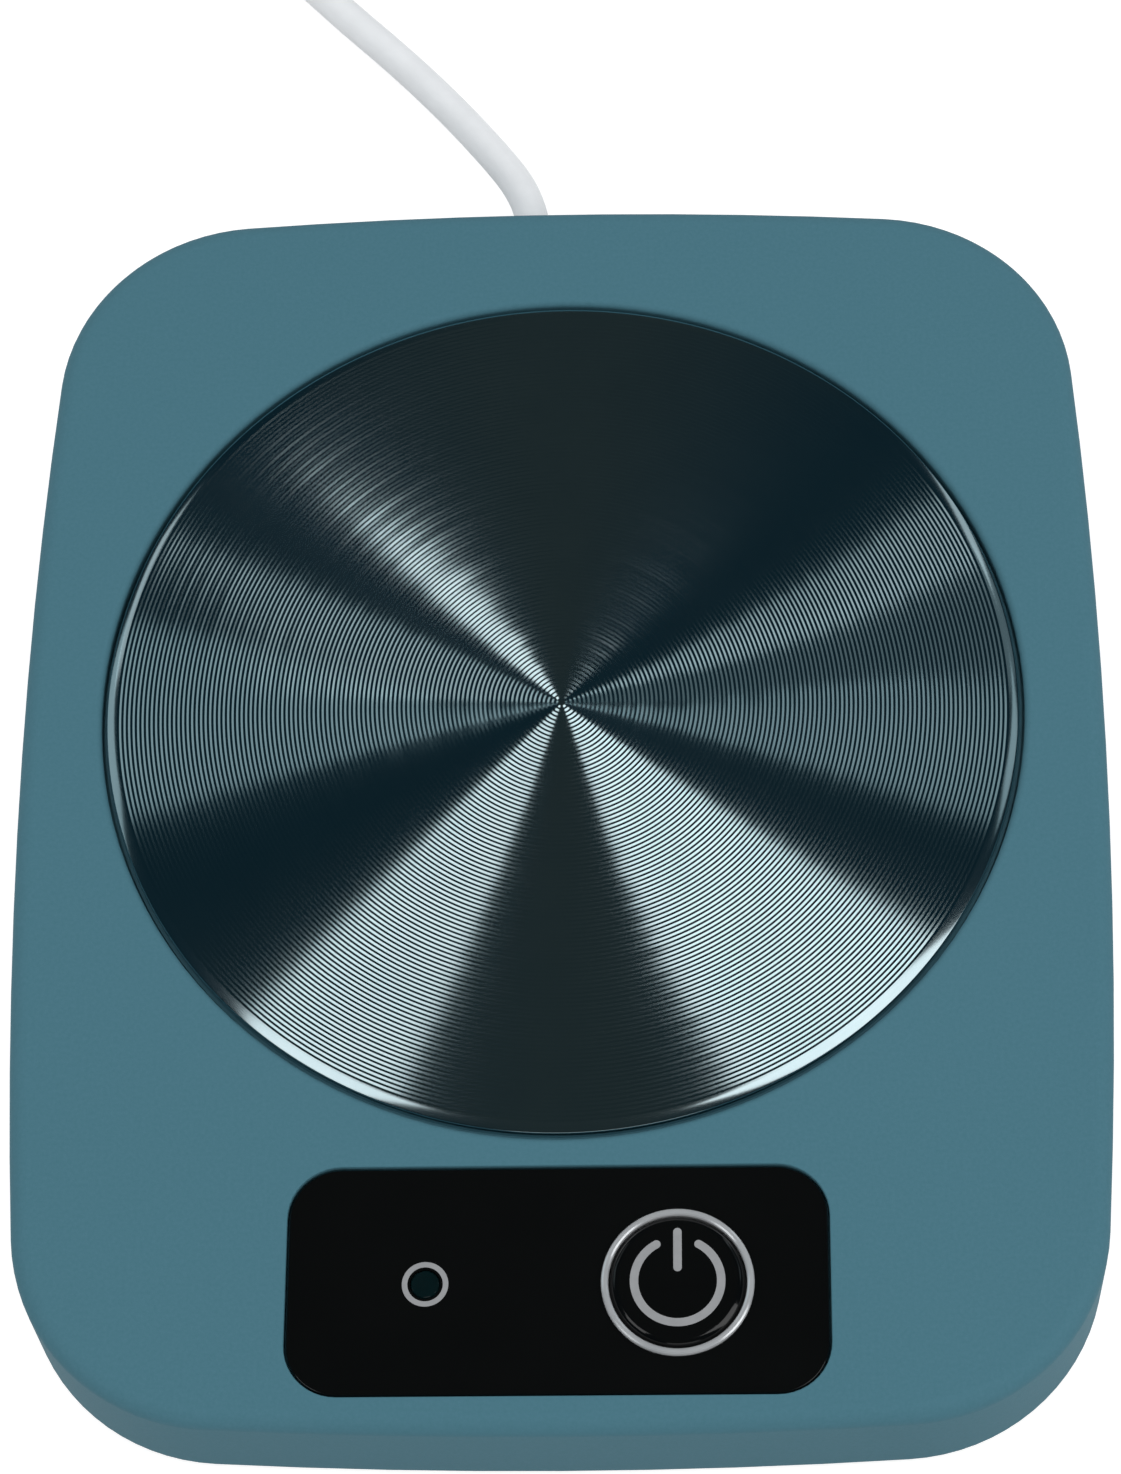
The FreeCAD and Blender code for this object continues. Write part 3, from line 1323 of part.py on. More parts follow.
plug_face = value(CONNECTOR_FACE)
plug_level = value("Dims.board_top + Dims.connector_height / 2")
run_level = value(f"{SHIELD_UNDER} - Dims.lead_drop")
stub = dim("lead_stub")
bow = dim("lead_bow")
heater_x = value(HEATER_PLUG_X)
supply_x = value(SUPPLY_PLUG_X)


def between(start, end, share, sideways=0.0):
    # a point that share of the way along a bow whose middle lies that far sideways
    point = start + (end - start) * share
    point.x += 4 * share * (1 - share) * sideways
    return point


def risen(point, height):
    return Vector(point.x, point.y, point.z + height)


def heater_lead(side):
    spacing = side * dim("lead_diameter")
    start = Vector(heater_x - 1.8 * dim("lead_diameter") + spacing, plug_face, plug_level)
    port = Vector(value(LEAD_PORT_X) + spacing * 0.8, value(LEAD_PORT_Y), run_level)
    foot = Vector(port.x, port.y - stub, run_level)
    leave = Vector(start.x, start.y + stub, start.z)
    return [
        start, leave, between(leave, foot, 0.5, -bow / 3), foot,
        risen(port, stub / 3), Vector(port.x, port.y, value(FILM_UNDER)),
    ]


def sensor_lead(side):
    spacing = side * dim("sensor_lead_diameter")
    start = Vector(heater_x + 2 * dim("lead_diameter") + spacing, plug_face, plug_level)
    bead = Vector(
        spacing * 0.8, value(SENSOR_FRONT), value(f"{PLATE_UNDER} - Dims.sensor_radius")
    )
    corner = Vector(bead.x, bead.y - dim("sensor_bend"), bead.z - dim("sensor_radius") / 4)
    below = Vector(corner.x, corner.y, run_level + dim("lead_drop") / 2)
    foot = Vector(corner.x - stub / 2, corner.y - 2 * stub, run_level)
    leave = Vector(start.x, start.y + stub, start.z)
    return [
        start, leave, between(leave, foot, 0.3, bow), between(leave, foot, 0.65, bow),
        foot, below, corner, bead,
    ]


def supply_lead(side):
    spacing = side * dim("lead_diameter") * 0.6
    start = Vector(dim("exit_x") + spacing, value(INNER_END), dim("exit_height"))
    end = Vector(supply_x + 2 * spacing, plug_face, plug_level)
    leave = Vector(start.x, start.y - stub, start.z)
    arrive = Vector(end.x, end.y + stub, end.z)
    shares = (0.2, 0.4, 0.6, 0.8)
    return [start, leave, *(between(leave, arrive, share, bow) for share in shares), arrive, end]


def pair_of_leads(name, route, diameter):
    return Part.makeCompound([tube(name, route(side), diameter) for side in (-1, 1)])


INNER_END = f"({CLAMP_Y} - Dims.clamp_width / 2 - Dims.cord_end)"
feature_from("heater_leads", pair_of_leads("heater lead", heater_lead, dim("lead_diameter")))
feature_from("sensor_leads", pair_of_leads("sensor lead", sensor_lead, dim("sensor_lead_diameter")))
feature_from("supply_leads", pair_of_leads("supply lead", supply_lead, dim("lead_diameter")))

# Cord grommet in the back wall, the clamp inside and the cord that they hold

GROOVE_START = f"({BACK_FACE} - Dims.wall - Dims.grommet_clearance)"
INNER_LIP = f"({GROOVE_START} - Dims.grommet_lip)"
BORE = f"({CORD_RADIUS} + Dims.bore_clearance)"
grommet = turned_body(
    "cord_grommet",
    [
        (BORE, INNER_LIP),
        ("Dims.grommet_flange - Dims.grommet_round", INNER_LIP),
        ("Dims.grommet_flange", f"{INNER_LIP} + Dims.grommet_round"),
        ("Dims.grommet_flange", GROOVE_START),
        ("Dims.grommet_neck", GROOVE_START),
        ("Dims.grommet_neck", f"{BACK_FACE} + Dims.bore_clearance"),
        ("Dims.grommet_flange", f"{BACK_FACE} + Dims.bore_clearance"),
        ("Dims.grommet_flange", f"{CORD_EXIT_Y} - Dims.grommet_round"),
        ("Dims.grommet_flange - Dims.grommet_round", CORD_EXIT_Y),
        (BORE, CORD_EXIT_Y),
    ],
    "Dims.exit_x",
)
grommet.setExpression("Placement.Base.z", "Dims.exit_height")
grommet.Placement.Rotation = Rotation(Vector(1, 0, 0), -90)
export(grommet)

clamp_bar = block(
    "clamp_bar", "Dims.exit_x", CLAMP_Y, "Dims.exit_height",
    "Dims.clamp_length", "Dims.clamp_width", "Dims.clamp_height",
)
clamp_groove = rod_along_y(
    "clamp_groove", "Dims.exit_x", f"{CLAMP_Y} - Dims.clamp_width", "Dims.exit_height",
    BORE, "2 * Dims.clamp_width",
)
clamp_holes = [
    rod(
        f"clamp_hole_{side}", f"Dims.exit_x + {side} * Dims.clamp_post_offset", CLAMP_Y,
        "Dims.exit_height - 1", "Dims.clamp_screw_radius + Dims.screw_clearance",
        "Dims.clamp_height + 2",
    )
    for side in (-1, 1)
]
export(cut("cord_clamp", clamp_bar, joined("clamp_tools", [clamp_groove, *clamp_holes])))

CLAMP_TOP = "(Dims.exit_height + Dims.clamp_height)"
clamp_screw_profile = [
    ("0", f"{CLAMP_TOP} + Dims.clamp_head_height / 2"),
    ("0", f"{CLAMP_TOP} - Dims.clamp_screw_length"),
    ("Dims.clamp_screw_radius * 0.3", f"{CLAMP_TOP} - Dims.clamp_screw_length"),
    ("Dims.clamp_screw_radius", f"{CLAMP_TOP} - Dims.clamp_screw_length + Dims.clamp_screw_radius"),
    ("Dims.clamp_screw_radius", CLAMP_TOP),
    ("Dims.clamp_head_radius", CLAMP_TOP),
    ("Dims.clamp_head_radius", f"{CLAMP_TOP} + Dims.clamp_head_height * 0.6"),
    ("Dims.clamp_head_radius * 0.8", f"{CLAMP_TOP} + Dims.clamp_head_height"),
    ("Dims.clamp_screw_radius / 2", f"{CLAMP_TOP} + Dims.clamp_head_height"),
]
export(grouped("clamp_screws", [
    turned_body(
        f"clamp_screw_{i}", clamp_screw_profile,
        f"Dims.exit_x + {side} * Dims.clamp_post_offset", CLAMP_Y,
    )
    for i, side in enumerate((-1, 1), start=1)
]))

export(rod_along_y(
    "inner_cord", "Dims.exit_x", INNER_END, "Dims.exit_height",
    CORD_RADIUS, f"{CORD_EXIT_Y} - {INNER_END}",
))

# Free cord, from the grommet to the coil

cord_diameter = dim("cord_diameter")
laid = cord_diameter / 2 + dim("cord_lift")
turn_pitch = cord_diameter + dim("coil_gap")
turns_in, turns_out = 4.0, 3.88
coil_middle = Vector(dim("coil_x"), dim("coil_y"), 0)
outer_radius = dim("coil_middle_diameter") / 2 + turns_in / 2 * turn_pitch
inner_radius = outer_radius - turns_in * turn_pitch
coil_start_angle = math.radians(218)


def coil_point(turn):
    # clockwise: in along the lower layer, up in the half turn where the spiral reverses, then out
    angle = coil_start_angle - turn * FULL_TURN
    if turn < turns_in:
        radius, level = outer_radius - turn * turn_pitch, laid
    elif turn < turns_in + 0.5:
        climb = (turn - turns_in) / 0.5
        radius = inner_radius - turn_pitch * (climb - climb ** 2) / 2
        level = laid + turn_pitch * (1 - math.cos(math.pi * climb)) / 2
    else:
        radius = inner_radius + (turn - turns_in - 0.5) * turn_pitch
        level = laid + turn_pitch
    return coil_middle + Vector(radius * math.cos(angle), radius * math.sin(angle), level)


def coil_tangent(turn):
    step = 1e-4
    tangent = coil_point(turn + step) - coil_point(turn - step)
    tangent.normalize()
    return tangent


total_turns = turns_in + 0.5 + turns_out
coil_start, coil_heading = coil_point(0), coil_tangent(0.0)
coil_heading.z = 0
coil_heading.normalize()
coil_entry = coil_start - coil_heading * cord_diameter
coil_end, end_heading = coil_point(total_turns), coil_tangent(total_turns)
coil_leave = coil_end + end_heading * cord_diameter

exit_point = Vector(dim("exit_x"), value(CORD_EXIT_Y), dim("exit_height"))
cord_route = [
    exit_point,
    Vector(-3.8, 69.9, 5.2),
    Vector(-4.3, 72.65, 5.15),
    Vector(-5.65, 75.9, 4.9),
    Vector(-8.45, 80.3, 4.0),
    Vector(-12.6, 86.2, 2.8),
    Vector(-18.4, 93.1, 2.1),
    Vector(-25.8, 100.6, laid),
    Vector(-33.06, 108.56, laid),
    coil_entry,
]
feature_from("cord", tube("cord", cord_route, cord_diameter))


def coil_solid():
    # quarter-turn steps, each a pair of tangent arcs, with a straight end one diameter long
    stops = [0.0]
    while stops[-1] < total_turns - 1e-9:
        stops.append(min(stops[-1] + 0.25, total_turns))
    tangents = [coil_tangent(stop) for stop in stops]
    tangents[0] = coil_heading
    edges = [Part.LineSegment(coil_entry, coil_start).toShape()]
    for i in range(len(stops) - 1):
        edges += pair_of_arcs(coil_point(stops[i]), tangents[i], coil_point(stops[i + 1]), tangents[i + 1])
    edges.append(Part.LineSegment(coil_end, coil_leave).toShape())
    wire = Part.Wire(edges)
    solid = swept_tube(wire, coil_entry, coil_heading, cord_diameter)
    expected = math.pi * (cord_diameter / 2) ** 2 * wire.Length
    print("coil length", round(wire.Length, 1), "volume ratio", round(solid.Volume / expected, 4))
    points = wire.discretize(Distance=1.5)
    step = wire.Length / (len(points) - 1)
    apart = int(3 * cord_diameter / step) + 1
    nearest = min(
        points[i].distanceToPoint(points[j])
        for i in range(len(points))
        for j in range(i + apart, len(points))
    )
    print("coil least gap to itself", round(nearest - cord_diameter, 3))
    return solid


feature_from("cord_coil", coil_solid())

# Tail of the cord and the plug beside the coil

plug_axis_level = dim("plug_height") / 2
cord_tail_route = [
    coil_leave,
    coil_leave + end_heading * 8,
    Vector(6.2, 159.9, 5.2),
    Vector(12.4, 155.2, plug_axis_level),
    Vector(17.4, 149.2, plug_axis_level),
]
tail_end = cord_tail_route[-1]
plug_heading = tail_end - cord_tail_route[-2]
plug_heading.normalize()
feature_from("cord_tail", tube("cord tail", cord_tail_route, cord_diameter))

across = plug_heading.cross(UP)
plug_place = Placement(tail_end, Rotation(across, UP * -1, plug_heading, "ZXY"))


def plug_block(name, start, width, height, length):
    box = doc.addObject("Part::Box", name)
    box.setExpression("Length", width)
    box.setExpression("Width", height)
    box.setExpression("Height", length)
    box.setExpression("Placement.Base.x", f"-({width}) / 2")
    box.setExpression("Placement.Base.y", f"-({height}) / 2")
    box.setExpression("Placement.Base.z", start)
    return box


PLUG_FACE = "(Dims.relief_length + Dims.plug_length)"
grip = new_body("plug_grip")
grip_outline = new_sketch(grip, "plug_grip_outline", "Dims.relief_length")
add_rounded_box(
    grip_outline, "0", "0", "Dims.plug_width", "Dims.plug_height", "Dims.plug_round"
)
grip_pad = pad(grip, "plug_grip_pad", grip_outline, "Dims.plug_length")
fillet(
    grip, "plug_grip_round", grip_pad,
    edges_where(grip.Shape, lambda edge: lies_at(edge, dim("relief_length"))),
    "Dims.plug_round / 2",
)
relief = doc.addObject("Part::Cone", "plug_relief")
relief.setExpression("Radius1", "Dims.relief_tip_radius")
relief.setExpression("Radius2", "Dims.relief_radius")
relief.setExpression("Height", "Dims.relief_length + 1")
plug_body = joined("plug_body", [grip, relief])
plug_body.Placement = plug_place
export(plug_body)

METAL = "Dims.contact_shell_metal"
shell_can = plug_block(
    "contact_can", PLUG_FACE, "Dims.contact_shell_width", "Dims.contact_shell_height",
    "Dims.contact_shell_length",
)
shell_void = plug_block(
    "contact_void", f"{PLUG_FACE} + {METAL}",
    f"Dims.contact_shell_width - 2 * {METAL}", f"Dims.contact_shell_height - 2 * {METAL}",
    "Dims.contact_shell_length",
)
windows = []
for side in (-1, 1):
    window = plug_block(
        f"contact_window_{side}", f"{PLUG_FACE} + Dims.window_start",
        "Dims.window_width", "2 * Dims.contact_shell_height", "Dims.window_length",
    )
    window.setExpression("Placement.Base.x", f"{side} * Dims.window_side - Dims.window_width / 2")
    windows.append(window)
plug_shell = cut("plug_shell", shell_can, joined("contact_tools", [shell_void, *windows]))
plug_shell.Placement = plug_place
export(plug_shell)

TONGUE_WIDTH = f"(Dims.contact_shell_width - 2 * {METAL} - 2 * Dims.tongue_gap)"
TONGUE_MIDDLE = f"((Dims.contact_shell_height - Dims.tongue_height) / 2 - {METAL} - Dims.tongue_gap)"
tongue = padded_body(
    "plug_tongue", f"{PLUG_FACE} + {METAL} + Dims.tongue_gap",
    f"Dims.contact_shell_length - 3 * {METAL}",
    lambda sketch: add_box(sketch, "0", TONGUE_MIDDLE, TONGUE_WIDTH, "Dims.tongue_height"),
)
tongue.Placement = plug_place
export(tongue)


def contact(side, which):
    return block(
        f"{which}_contact_{side}", f"{side} * Dims.{which}_contact_side",
        f"{TONGUE_MIDDLE} - (Dims.tongue_height + Dims.contact_metal) / 2",
        f"{PLUG_FACE} + Dims.contact_start",
        "Dims.contact_width", "Dims.contact_metal", f"Dims.{which}_contact_length",
    )


contacts = grouped("plug_contacts", [
    contact(side, which) for which in ("outer", "inner") for side in (-1, 1)
])
contacts.Placement = plug_place
export(contacts)

# Checks, then one file for each piece

doc.recompute()
for item in doc.Objects:
    if "Invalid" in item.State or "Error" in item.State:
        print("bad state", item.Name, item.State, item.getStatusString())
for piece in exported:
    if piece.Shape.isNull() or not piece.Shape.isValid():
        print("bad shape", piece.Label)
for piece in exported:
    piece.Shape.exportStep(f"parts/{piece.Label}.step")
print(len(exported), "pieces")
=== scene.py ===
import json
import math
import random

import bmesh
import bpy
from mathutils import Matrix, Vector


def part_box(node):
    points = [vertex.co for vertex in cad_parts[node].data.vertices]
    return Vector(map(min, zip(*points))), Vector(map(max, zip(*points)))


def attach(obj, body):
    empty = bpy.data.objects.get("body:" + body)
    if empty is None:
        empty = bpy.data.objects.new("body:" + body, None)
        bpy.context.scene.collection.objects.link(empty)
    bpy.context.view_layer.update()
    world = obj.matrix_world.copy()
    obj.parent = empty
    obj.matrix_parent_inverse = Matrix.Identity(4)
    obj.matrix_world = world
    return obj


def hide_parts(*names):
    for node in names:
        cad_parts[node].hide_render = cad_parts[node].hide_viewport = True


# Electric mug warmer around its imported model: metres, +Z up, control panel towards -Y

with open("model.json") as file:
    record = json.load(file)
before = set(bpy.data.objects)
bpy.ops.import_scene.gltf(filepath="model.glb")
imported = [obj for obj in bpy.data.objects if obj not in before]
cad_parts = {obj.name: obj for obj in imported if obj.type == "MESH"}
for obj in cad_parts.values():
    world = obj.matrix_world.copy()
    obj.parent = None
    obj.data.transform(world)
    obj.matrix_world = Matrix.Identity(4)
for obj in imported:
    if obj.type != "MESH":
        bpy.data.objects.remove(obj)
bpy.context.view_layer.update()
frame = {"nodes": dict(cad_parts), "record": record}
MM = 0.001
NODES = frame["nodes"]


def add_object(name, data):
    thing = bpy.data.objects.new(name, data)
    bpy.context.scene.collection.objects.link(thing)
    return thing


def facing(away, roll):
    # turn of an object whose own +Z points along `away`, with its +X level before the roll
    level = Vector((0, 0, 1)).cross(away).normalized()
    up = away.cross(level)
    across = level * math.cos(roll) + up * math.sin(roll)
    along = up * math.cos(roll) - level * math.sin(roll)
    return Matrix((across, along, away)).transposed().to_4x4()


# Camera, fitted to the housing's outline and the plate's edge in the photograph

PHOTO_HEIGHT = 1474
CAMERA_PLACE = Vector((18.2944, -189.0241, 424.3614)) * MM
CAMERA_AZIMUTH = math.radians(4.2296)
CAMERA_ELEVATION = math.radians(65.1485)
CAMERA_ROLL = math.radians(-4.4974)
FOCAL_PIXELS = 4567.9484
CENTRE_SHIFT = (44.22, 44.22)
SENSOR_MILLIMETRES = 36.0
NEAREST_SEEN = 0.01


def make_camera():
    data = bpy.data.cameras.new("camera")
    data.sensor_fit = "AUTO"
    data.sensor_width = SENSOR_MILLIMETRES
    data.lens = SENSOR_MILLIMETRES * FOCAL_PIXELS / PHOTO_HEIGHT
    data.shift_x = -CENTRE_SHIFT[0] / PHOTO_HEIGHT
    data.shift_y = CENTRE_SHIFT[1] / PHOTO_HEIGHT
    data.clip_start = NEAREST_SEEN
    camera = add_object("camera", data)
    flat = math.cos(CAMERA_ELEVATION)
    back = Vector((
        math.sin(CAMERA_AZIMUTH) * flat, -math.cos(CAMERA_AZIMUTH) * flat, math.sin(CAMERA_ELEVATION)
    ))
    camera.matrix_world = Matrix.Translation(CAMERA_PLACE) @ facing(back, CAMERA_ROLL)
    bpy.context.scene.camera = camera


make_camera()

# Cord in millimetres: the listed route, then the coil that the photograph doesn't show, then the tail

CORD_DIAMETER = 3.6
CORD_LIFT = 0.05
COIL_GAP = 0.55
COIL_MIDDLE_DIAMETER = 41.4
COIL_MIDDLE = Vector((-17.5, 136.2, 0))
COIL_START_ANGLE = math.radians(218)
COIL_EXIT_RUN = 8
TURNS_IN, CLIMB, TURNS_OUT = 4.0, 0.5, 3.88
PLUG_AXIS_LEVEL = 4.0
LAID = CORD_DIAMETER / 2 + CORD_LIFT
TURN_PITCH = CORD_DIAMETER + COIL_GAP
COIL_OUTER = COIL_MIDDLE_DIAMETER / 2 + TURNS_IN / 2 * TURN_PITCH
COIL_INNER = COIL_OUTER - TURNS_IN * TURN_PITCH
POINTS_A_TURN = 16
STEPS_A_POINT = 6
ROUND_STEPS = 8
SMALL_TURN = 1e-4
ENTRY_TURN = 1e-3

FREE_ROUTE = [
    (-3.8, 67.5, 5.2),
    (-3.8, 69.9, 5.2),
    (-4.3, 72.65, 5.15),
    (-5.65, 75.9, 4.9),
    (-8.45, 80.3, 4.0),
    (-12.6, 86.2, 2.8),
    (-18.4, 93.1, 2.1),
    (-25.8, 100.6, LAID),
    (-33.06, 108.56, LAID),
]
TAIL_ROUTE = [
    (6.2, 159.9, 5.2),
    (12.4, 155.2, PLUG_AXIS_LEVEL),
    (17.4, 149.2, PLUG_AXIS_LEVEL),
]


def coil_point(turn):
    # clockwise: in along the lower layer, up in the half turn where the spiral reverses, then out
    angle = COIL_START_ANGLE - turn * 2 * math.pi
    if turn < TURNS_IN:
        radius, level = COIL_OUTER - turn * TURN_PITCH, LAID
    elif turn < TURNS_IN + CLIMB:
        climb = (turn - TURNS_IN) / CLIMB
        radius = COIL_INNER - TURN_PITCH * (climb - climb ** 2) / 2
        level = LAID + TURN_PITCH * (1 - math.cos(math.pi * climb)) / 2
    else:
        radius = COIL_INNER + (turn - TURNS_IN - CLIMB) * TURN_PITCH
        level = LAID + TURN_PITCH
    return COIL_MIDDLE + Vector((radius * math.cos(angle), radius * math.sin(angle), level))


def coil_heading(turn):
    return (coil_point(turn + SMALL_TURN) - coil_point(turn - SMALL_TURN)).normalized()


def cord_points():
    total = TURNS_IN + CLIMB + TURNS_OUT
    steps = round(total * POINTS_A_TURN)
    start_heading = coil_heading(ENTRY_TURN)
    start_heading.z = 0
    entry = coil_point(0) - start_heading.normalized() * CORD_DIAMETER
    coil = [coil_point(total * step / steps) for step in range(steps + 1)]
    leave = coil_point(total) + coil_heading(total) * CORD_DIAMETER
    run_end = leave + coil_heading(total) * COIL_EXIT_RUN
    free = [Vector(point) for point in FREE_ROUTE]
    tail = [Vector(point) for point in TAIL_ROUTE]
    return [*free, entry, *coil, leave, run_end, *tail]


def make_cord():
    data = bpy.data.curves.new("supply_cord", "CURVE")
    data.dimensions = "3D"
    data.bevel_depth = 1.0
    data.bevel_resolution = ROUND_STEPS
    data.resolution_u = STEPS_A_POINT
    data.use_fill_caps = True
    spline = data.splines.new("NURBS")
    points = cord_points()
    spline.points.add(len(points) - 1)
    for control, point in zip(spline.points, points):
        control.co = (*(point * MM), 1)
        control.radius = CORD_DIAMETER / 2 * MM
    spline.order_u = 3
    spline.use_endpoint_u = True
    spline.use_smooth = True
    return add_object("supply_cord", data)


cord = make_cord()
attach(cord, "housing")
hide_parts("cord", "cord_coil", "cord_tail")

# Heating plate: turned face with sharp crests and troughs, plain sloping rim, edge wall and underside

PLATE_LOW, PLATE_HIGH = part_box("heating_plate")
PLATE_MIDDLE = (Vector(PLATE_LOW) + Vector(PLATE_HIGH)) / 2
PLATE_RADIUS = (PLATE_HIGH[0] - PLATE_LOW[0]) / 2
PLATE_TOP = PLATE_HIGH[2]
PLATE_THICKNESS = 1.6 * MM
PLATE_SEGMENTS = 256
RIM_WIDTH = 1.05 * MM
RIM_SLOPES = (math.radians(16), math.radians(27))
RIM_STEPS = 6
RIM_ROUND = 0.22 * MM
OUTER_CREST = PLATE_RADIUS - RIM_WIDTH
GROOVE_PITCH = 0.45 * MM
GROOVE_DEPTH = 0.09 * MM
GROOVE_OUTER_FLANK = 0.21 * MM
GROOVE_SEED = 11
DEPTH_SPREAD = 0.02
STUDS = 4
FIRST_STUD_DEGREES = 45
STUD_CIRCLE = 35.4 * MM
STUD_RADIUS = 2.0 * MM
STUD_TAPER = 0.9
STUD_SEGMENTS = 24


def groove_profile():
    # radius, level and whether the ring is a sharp line, from the middle out
    draws = random.Random(GROOVE_SEED)
    grooves = int(OUTER_CREST / GROOVE_PITCH)
    first_crest = OUTER_CREST - grooves * GROOVE_PITCH
    rings = []
    for groove in range(grooves):
        crest = first_crest + groove * GROOVE_PITCH
        depth = GROOVE_DEPTH * (1 + draws.uniform(-DEPTH_SPREAD, DEPTH_SPREAD))
        rings.append((crest, 0.0, True))
        rings.append((crest + GROOVE_OUTER_FLANK, -depth, True))
    rings.append((OUTER_CREST, 0.0, True))
    return rings


def rim_profile():
    # convex rim that grows steeper outwards, then a small round and the edge wall
    first, last = RIM_SLOPES
    width = RIM_WIDTH - RIM_ROUND * (1 - math.sin(last))
    bow = width / (math.sin(last) - math.sin(first))
    rings = []
    for step in range(1, RIM_STEPS + 1):
        slope = first + (last - first) * step / RIM_STEPS
        radius = OUTER_CREST + bow * (math.sin(slope) - math.sin(first))
        rings.append((radius, bow * (math.cos(slope) - math.cos(first)), False))
    round_radius = PLATE_RADIUS - RIM_ROUND
    round_level = rings[-1][1] - RIM_ROUND * math.cos(last)
    for step in range(1, RIM_STEPS + 1):
        slope = last + (math.pi / 2 - last) * step / RIM_STEPS
        radius = round_radius + RIM_ROUND * math.sin(slope)
        rings.append((radius, round_level + RIM_ROUND * math.cos(slope), False))
    rings.append((PLATE_RADIUS, -PLATE_THICKNESS, True))
    return rings


def add_disc(mesh):
    # rings of the profile turned about the plate's axis and joined from the middle out
    turn = [2 * math.pi * step / PLATE_SEGMENTS for step in range(PLATE_SEGMENTS)]
    middle = mesh.verts.new((PLATE_MIDDLE.x, PLATE_MIDDLE.y, PLATE_TOP))
    underside = mesh.verts.new((PLATE_MIDDLE.x, PLATE_MIDDLE.y, PLATE_TOP - PLATE_THICKNESS))
    previous = None
    for radius, drop, sharp in groove_profile() + rim_profile():
        ring = [
            mesh.verts.new((
                PLATE_MIDDLE.x + radius * math.cos(angle),
                PLATE_MIDDLE.y + radius * math.sin(angle),
                PLATE_TOP + drop,
            ))
            for angle in turn
        ]
        for step, vertex in enumerate(ring):
            beside = ring[(step + 1) % PLATE_SEGMENTS]
            if previous is None:
                mesh.faces.new((middle, vertex, beside))
            else:
                inner_beside = previous[(step + 1) % PLATE_SEGMENTS]
                mesh.faces.new((previous[step], vertex, beside, inner_beside))
            mesh.edges.get((vertex, beside)).smooth = not sharp
        previous = ring
    for step, vertex in enumerate(previous):
        mesh.faces.new((vertex, underside, previous[(step + 1) % PLATE_SEGMENTS]))
    for face in mesh.faces:
        face.smooth = True


def add_studs(mesh):
    # studs under the plate, down to the level that the CAD plate reaches
    top = PLATE_TOP - PLATE_THICKNESS
    length = top - PLATE_LOW[2]
    for stud in range(STUDS):
        angle = math.radians(FIRST_STUD_DEGREES + 360 / STUDS * stud)
        place = Matrix.Translation((
            PLATE_MIDDLE.x + STUD_CIRCLE * math.cos(angle),
            PLATE_MIDDLE.y + STUD_CIRCLE * math.sin(angle),
            top - length / 2,
        ))
        bmesh.ops.create_cone(
            mesh, cap_ends=True, segments=STUD_SEGMENTS, radius1=STUD_RADIUS * STUD_TAPER,
            radius2=STUD_RADIUS, depth=length, matrix=place,
        )


def make_plate():
    mesh = bmesh.new()
    add_disc(mesh)
    add_studs(mesh)
    data = bpy.data.meshes.new("turned_plate")
    mesh.to_mesh(data)
    mesh.free()
    return add_object("turned_plate", data)


plate = make_plate()
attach(plate, "housing")
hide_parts("heating_plate")

# Materials

NOISE_LOW, NOISE_HIGH = 0.3, 0.7
NOISE_DETAIL = 4.0
NOISE_ROUGHNESS = 0.6
GRAIN_DETAIL = 2
SHEEN_PATCHES = 3
SHEEN_SPREAD = 0.05
PLATE_PATCHES = 120


class Shader:
    """One node material with a Principled surface."""

    def __init__(self, name, colour, roughness, metallic=0.0, **extra):
        self.material = bpy.data.materials.new(name)
        self.material.use_nodes = True
        self.tree = self.material.node_tree
        self.surface = self.tree.nodes["Principled BSDF"]
        self.surface.inputs["Base Color"].default_value = (*linear(colour), 1)
        self.surface.inputs["Roughness"].default_value = roughness
        self.surface.inputs["Metallic"].default_value = metallic
        for socket, number in extra.items():
            self.surface.inputs[socket.replace("_", " ")].default_value = number

    def link(self, source, target):
        self.tree.links.new(source, target)

    def noise(self, per_metre, detail=NOISE_DETAIL):
        place = self.tree.nodes.new("ShaderNodeTexCoord").outputs["Object"]
        noise = self.tree.nodes.new("ShaderNodeTexNoise")
        noise.inputs["Scale"].default_value = per_metre
        noise.inputs["Detail"].default_value = detail
        noise.inputs["Roughness"].default_value = NOISE_ROUGHNESS
        self.link(place, noise.inputs["Vector"])
        return noise.outputs["Fac"]

    def spread(self, factor, low, high):
        # the middle of the noise's range, stretched from low to high
        spread = self.tree.nodes.new("ShaderNodeMapRange")
        spread.inputs["From Min"].default_value = NOISE_LOW
        spread.inputs["From Max"].default_value = NOISE_HIGH
        spread.inputs["To Min"].default_value = low
        spread.inputs["To Max"].default_value = high
        self.link(factor, spread.inputs["Value"])
        return spread.outputs["Result"]

    def colours(self, factor, first, second):
        mix = self.tree.nodes.new("ShaderNodeMix")
        mix.data_type = "RGBA"
        mix.inputs["A"].default_value = (*linear(first), 1)
        mix.inputs["B"].default_value = (*linear(second), 1)
        self.link(factor, mix.inputs["Factor"])
        self.link(mix.outputs["Result"], self.surface.inputs["Base Color"])

    def roughness(self, factor, low, high):
        self.link(self.spread(factor, low, high), self.surface.inputs["Roughness"])

    def bump(self, height, millimetres):
        bump = self.tree.nodes.new("ShaderNodeBump")
        bump.inputs["Strength"].default_value = 1.0
        bump.inputs["Distance"].default_value = millimetres * MM
        self.link(height, bump.inputs["Height"])
        self.link(bump.outputs["Normal"], self.surface.inputs["Normal"])


def linear(colour):
    # colour is written as it looks on screen, from 0 to 255
    parts = [channel / 255 for channel in colour]
    return tuple(c / 12.92 if c <= 0.04045 else ((c + 0.055) / 1.055) ** 2.4 for c in parts)


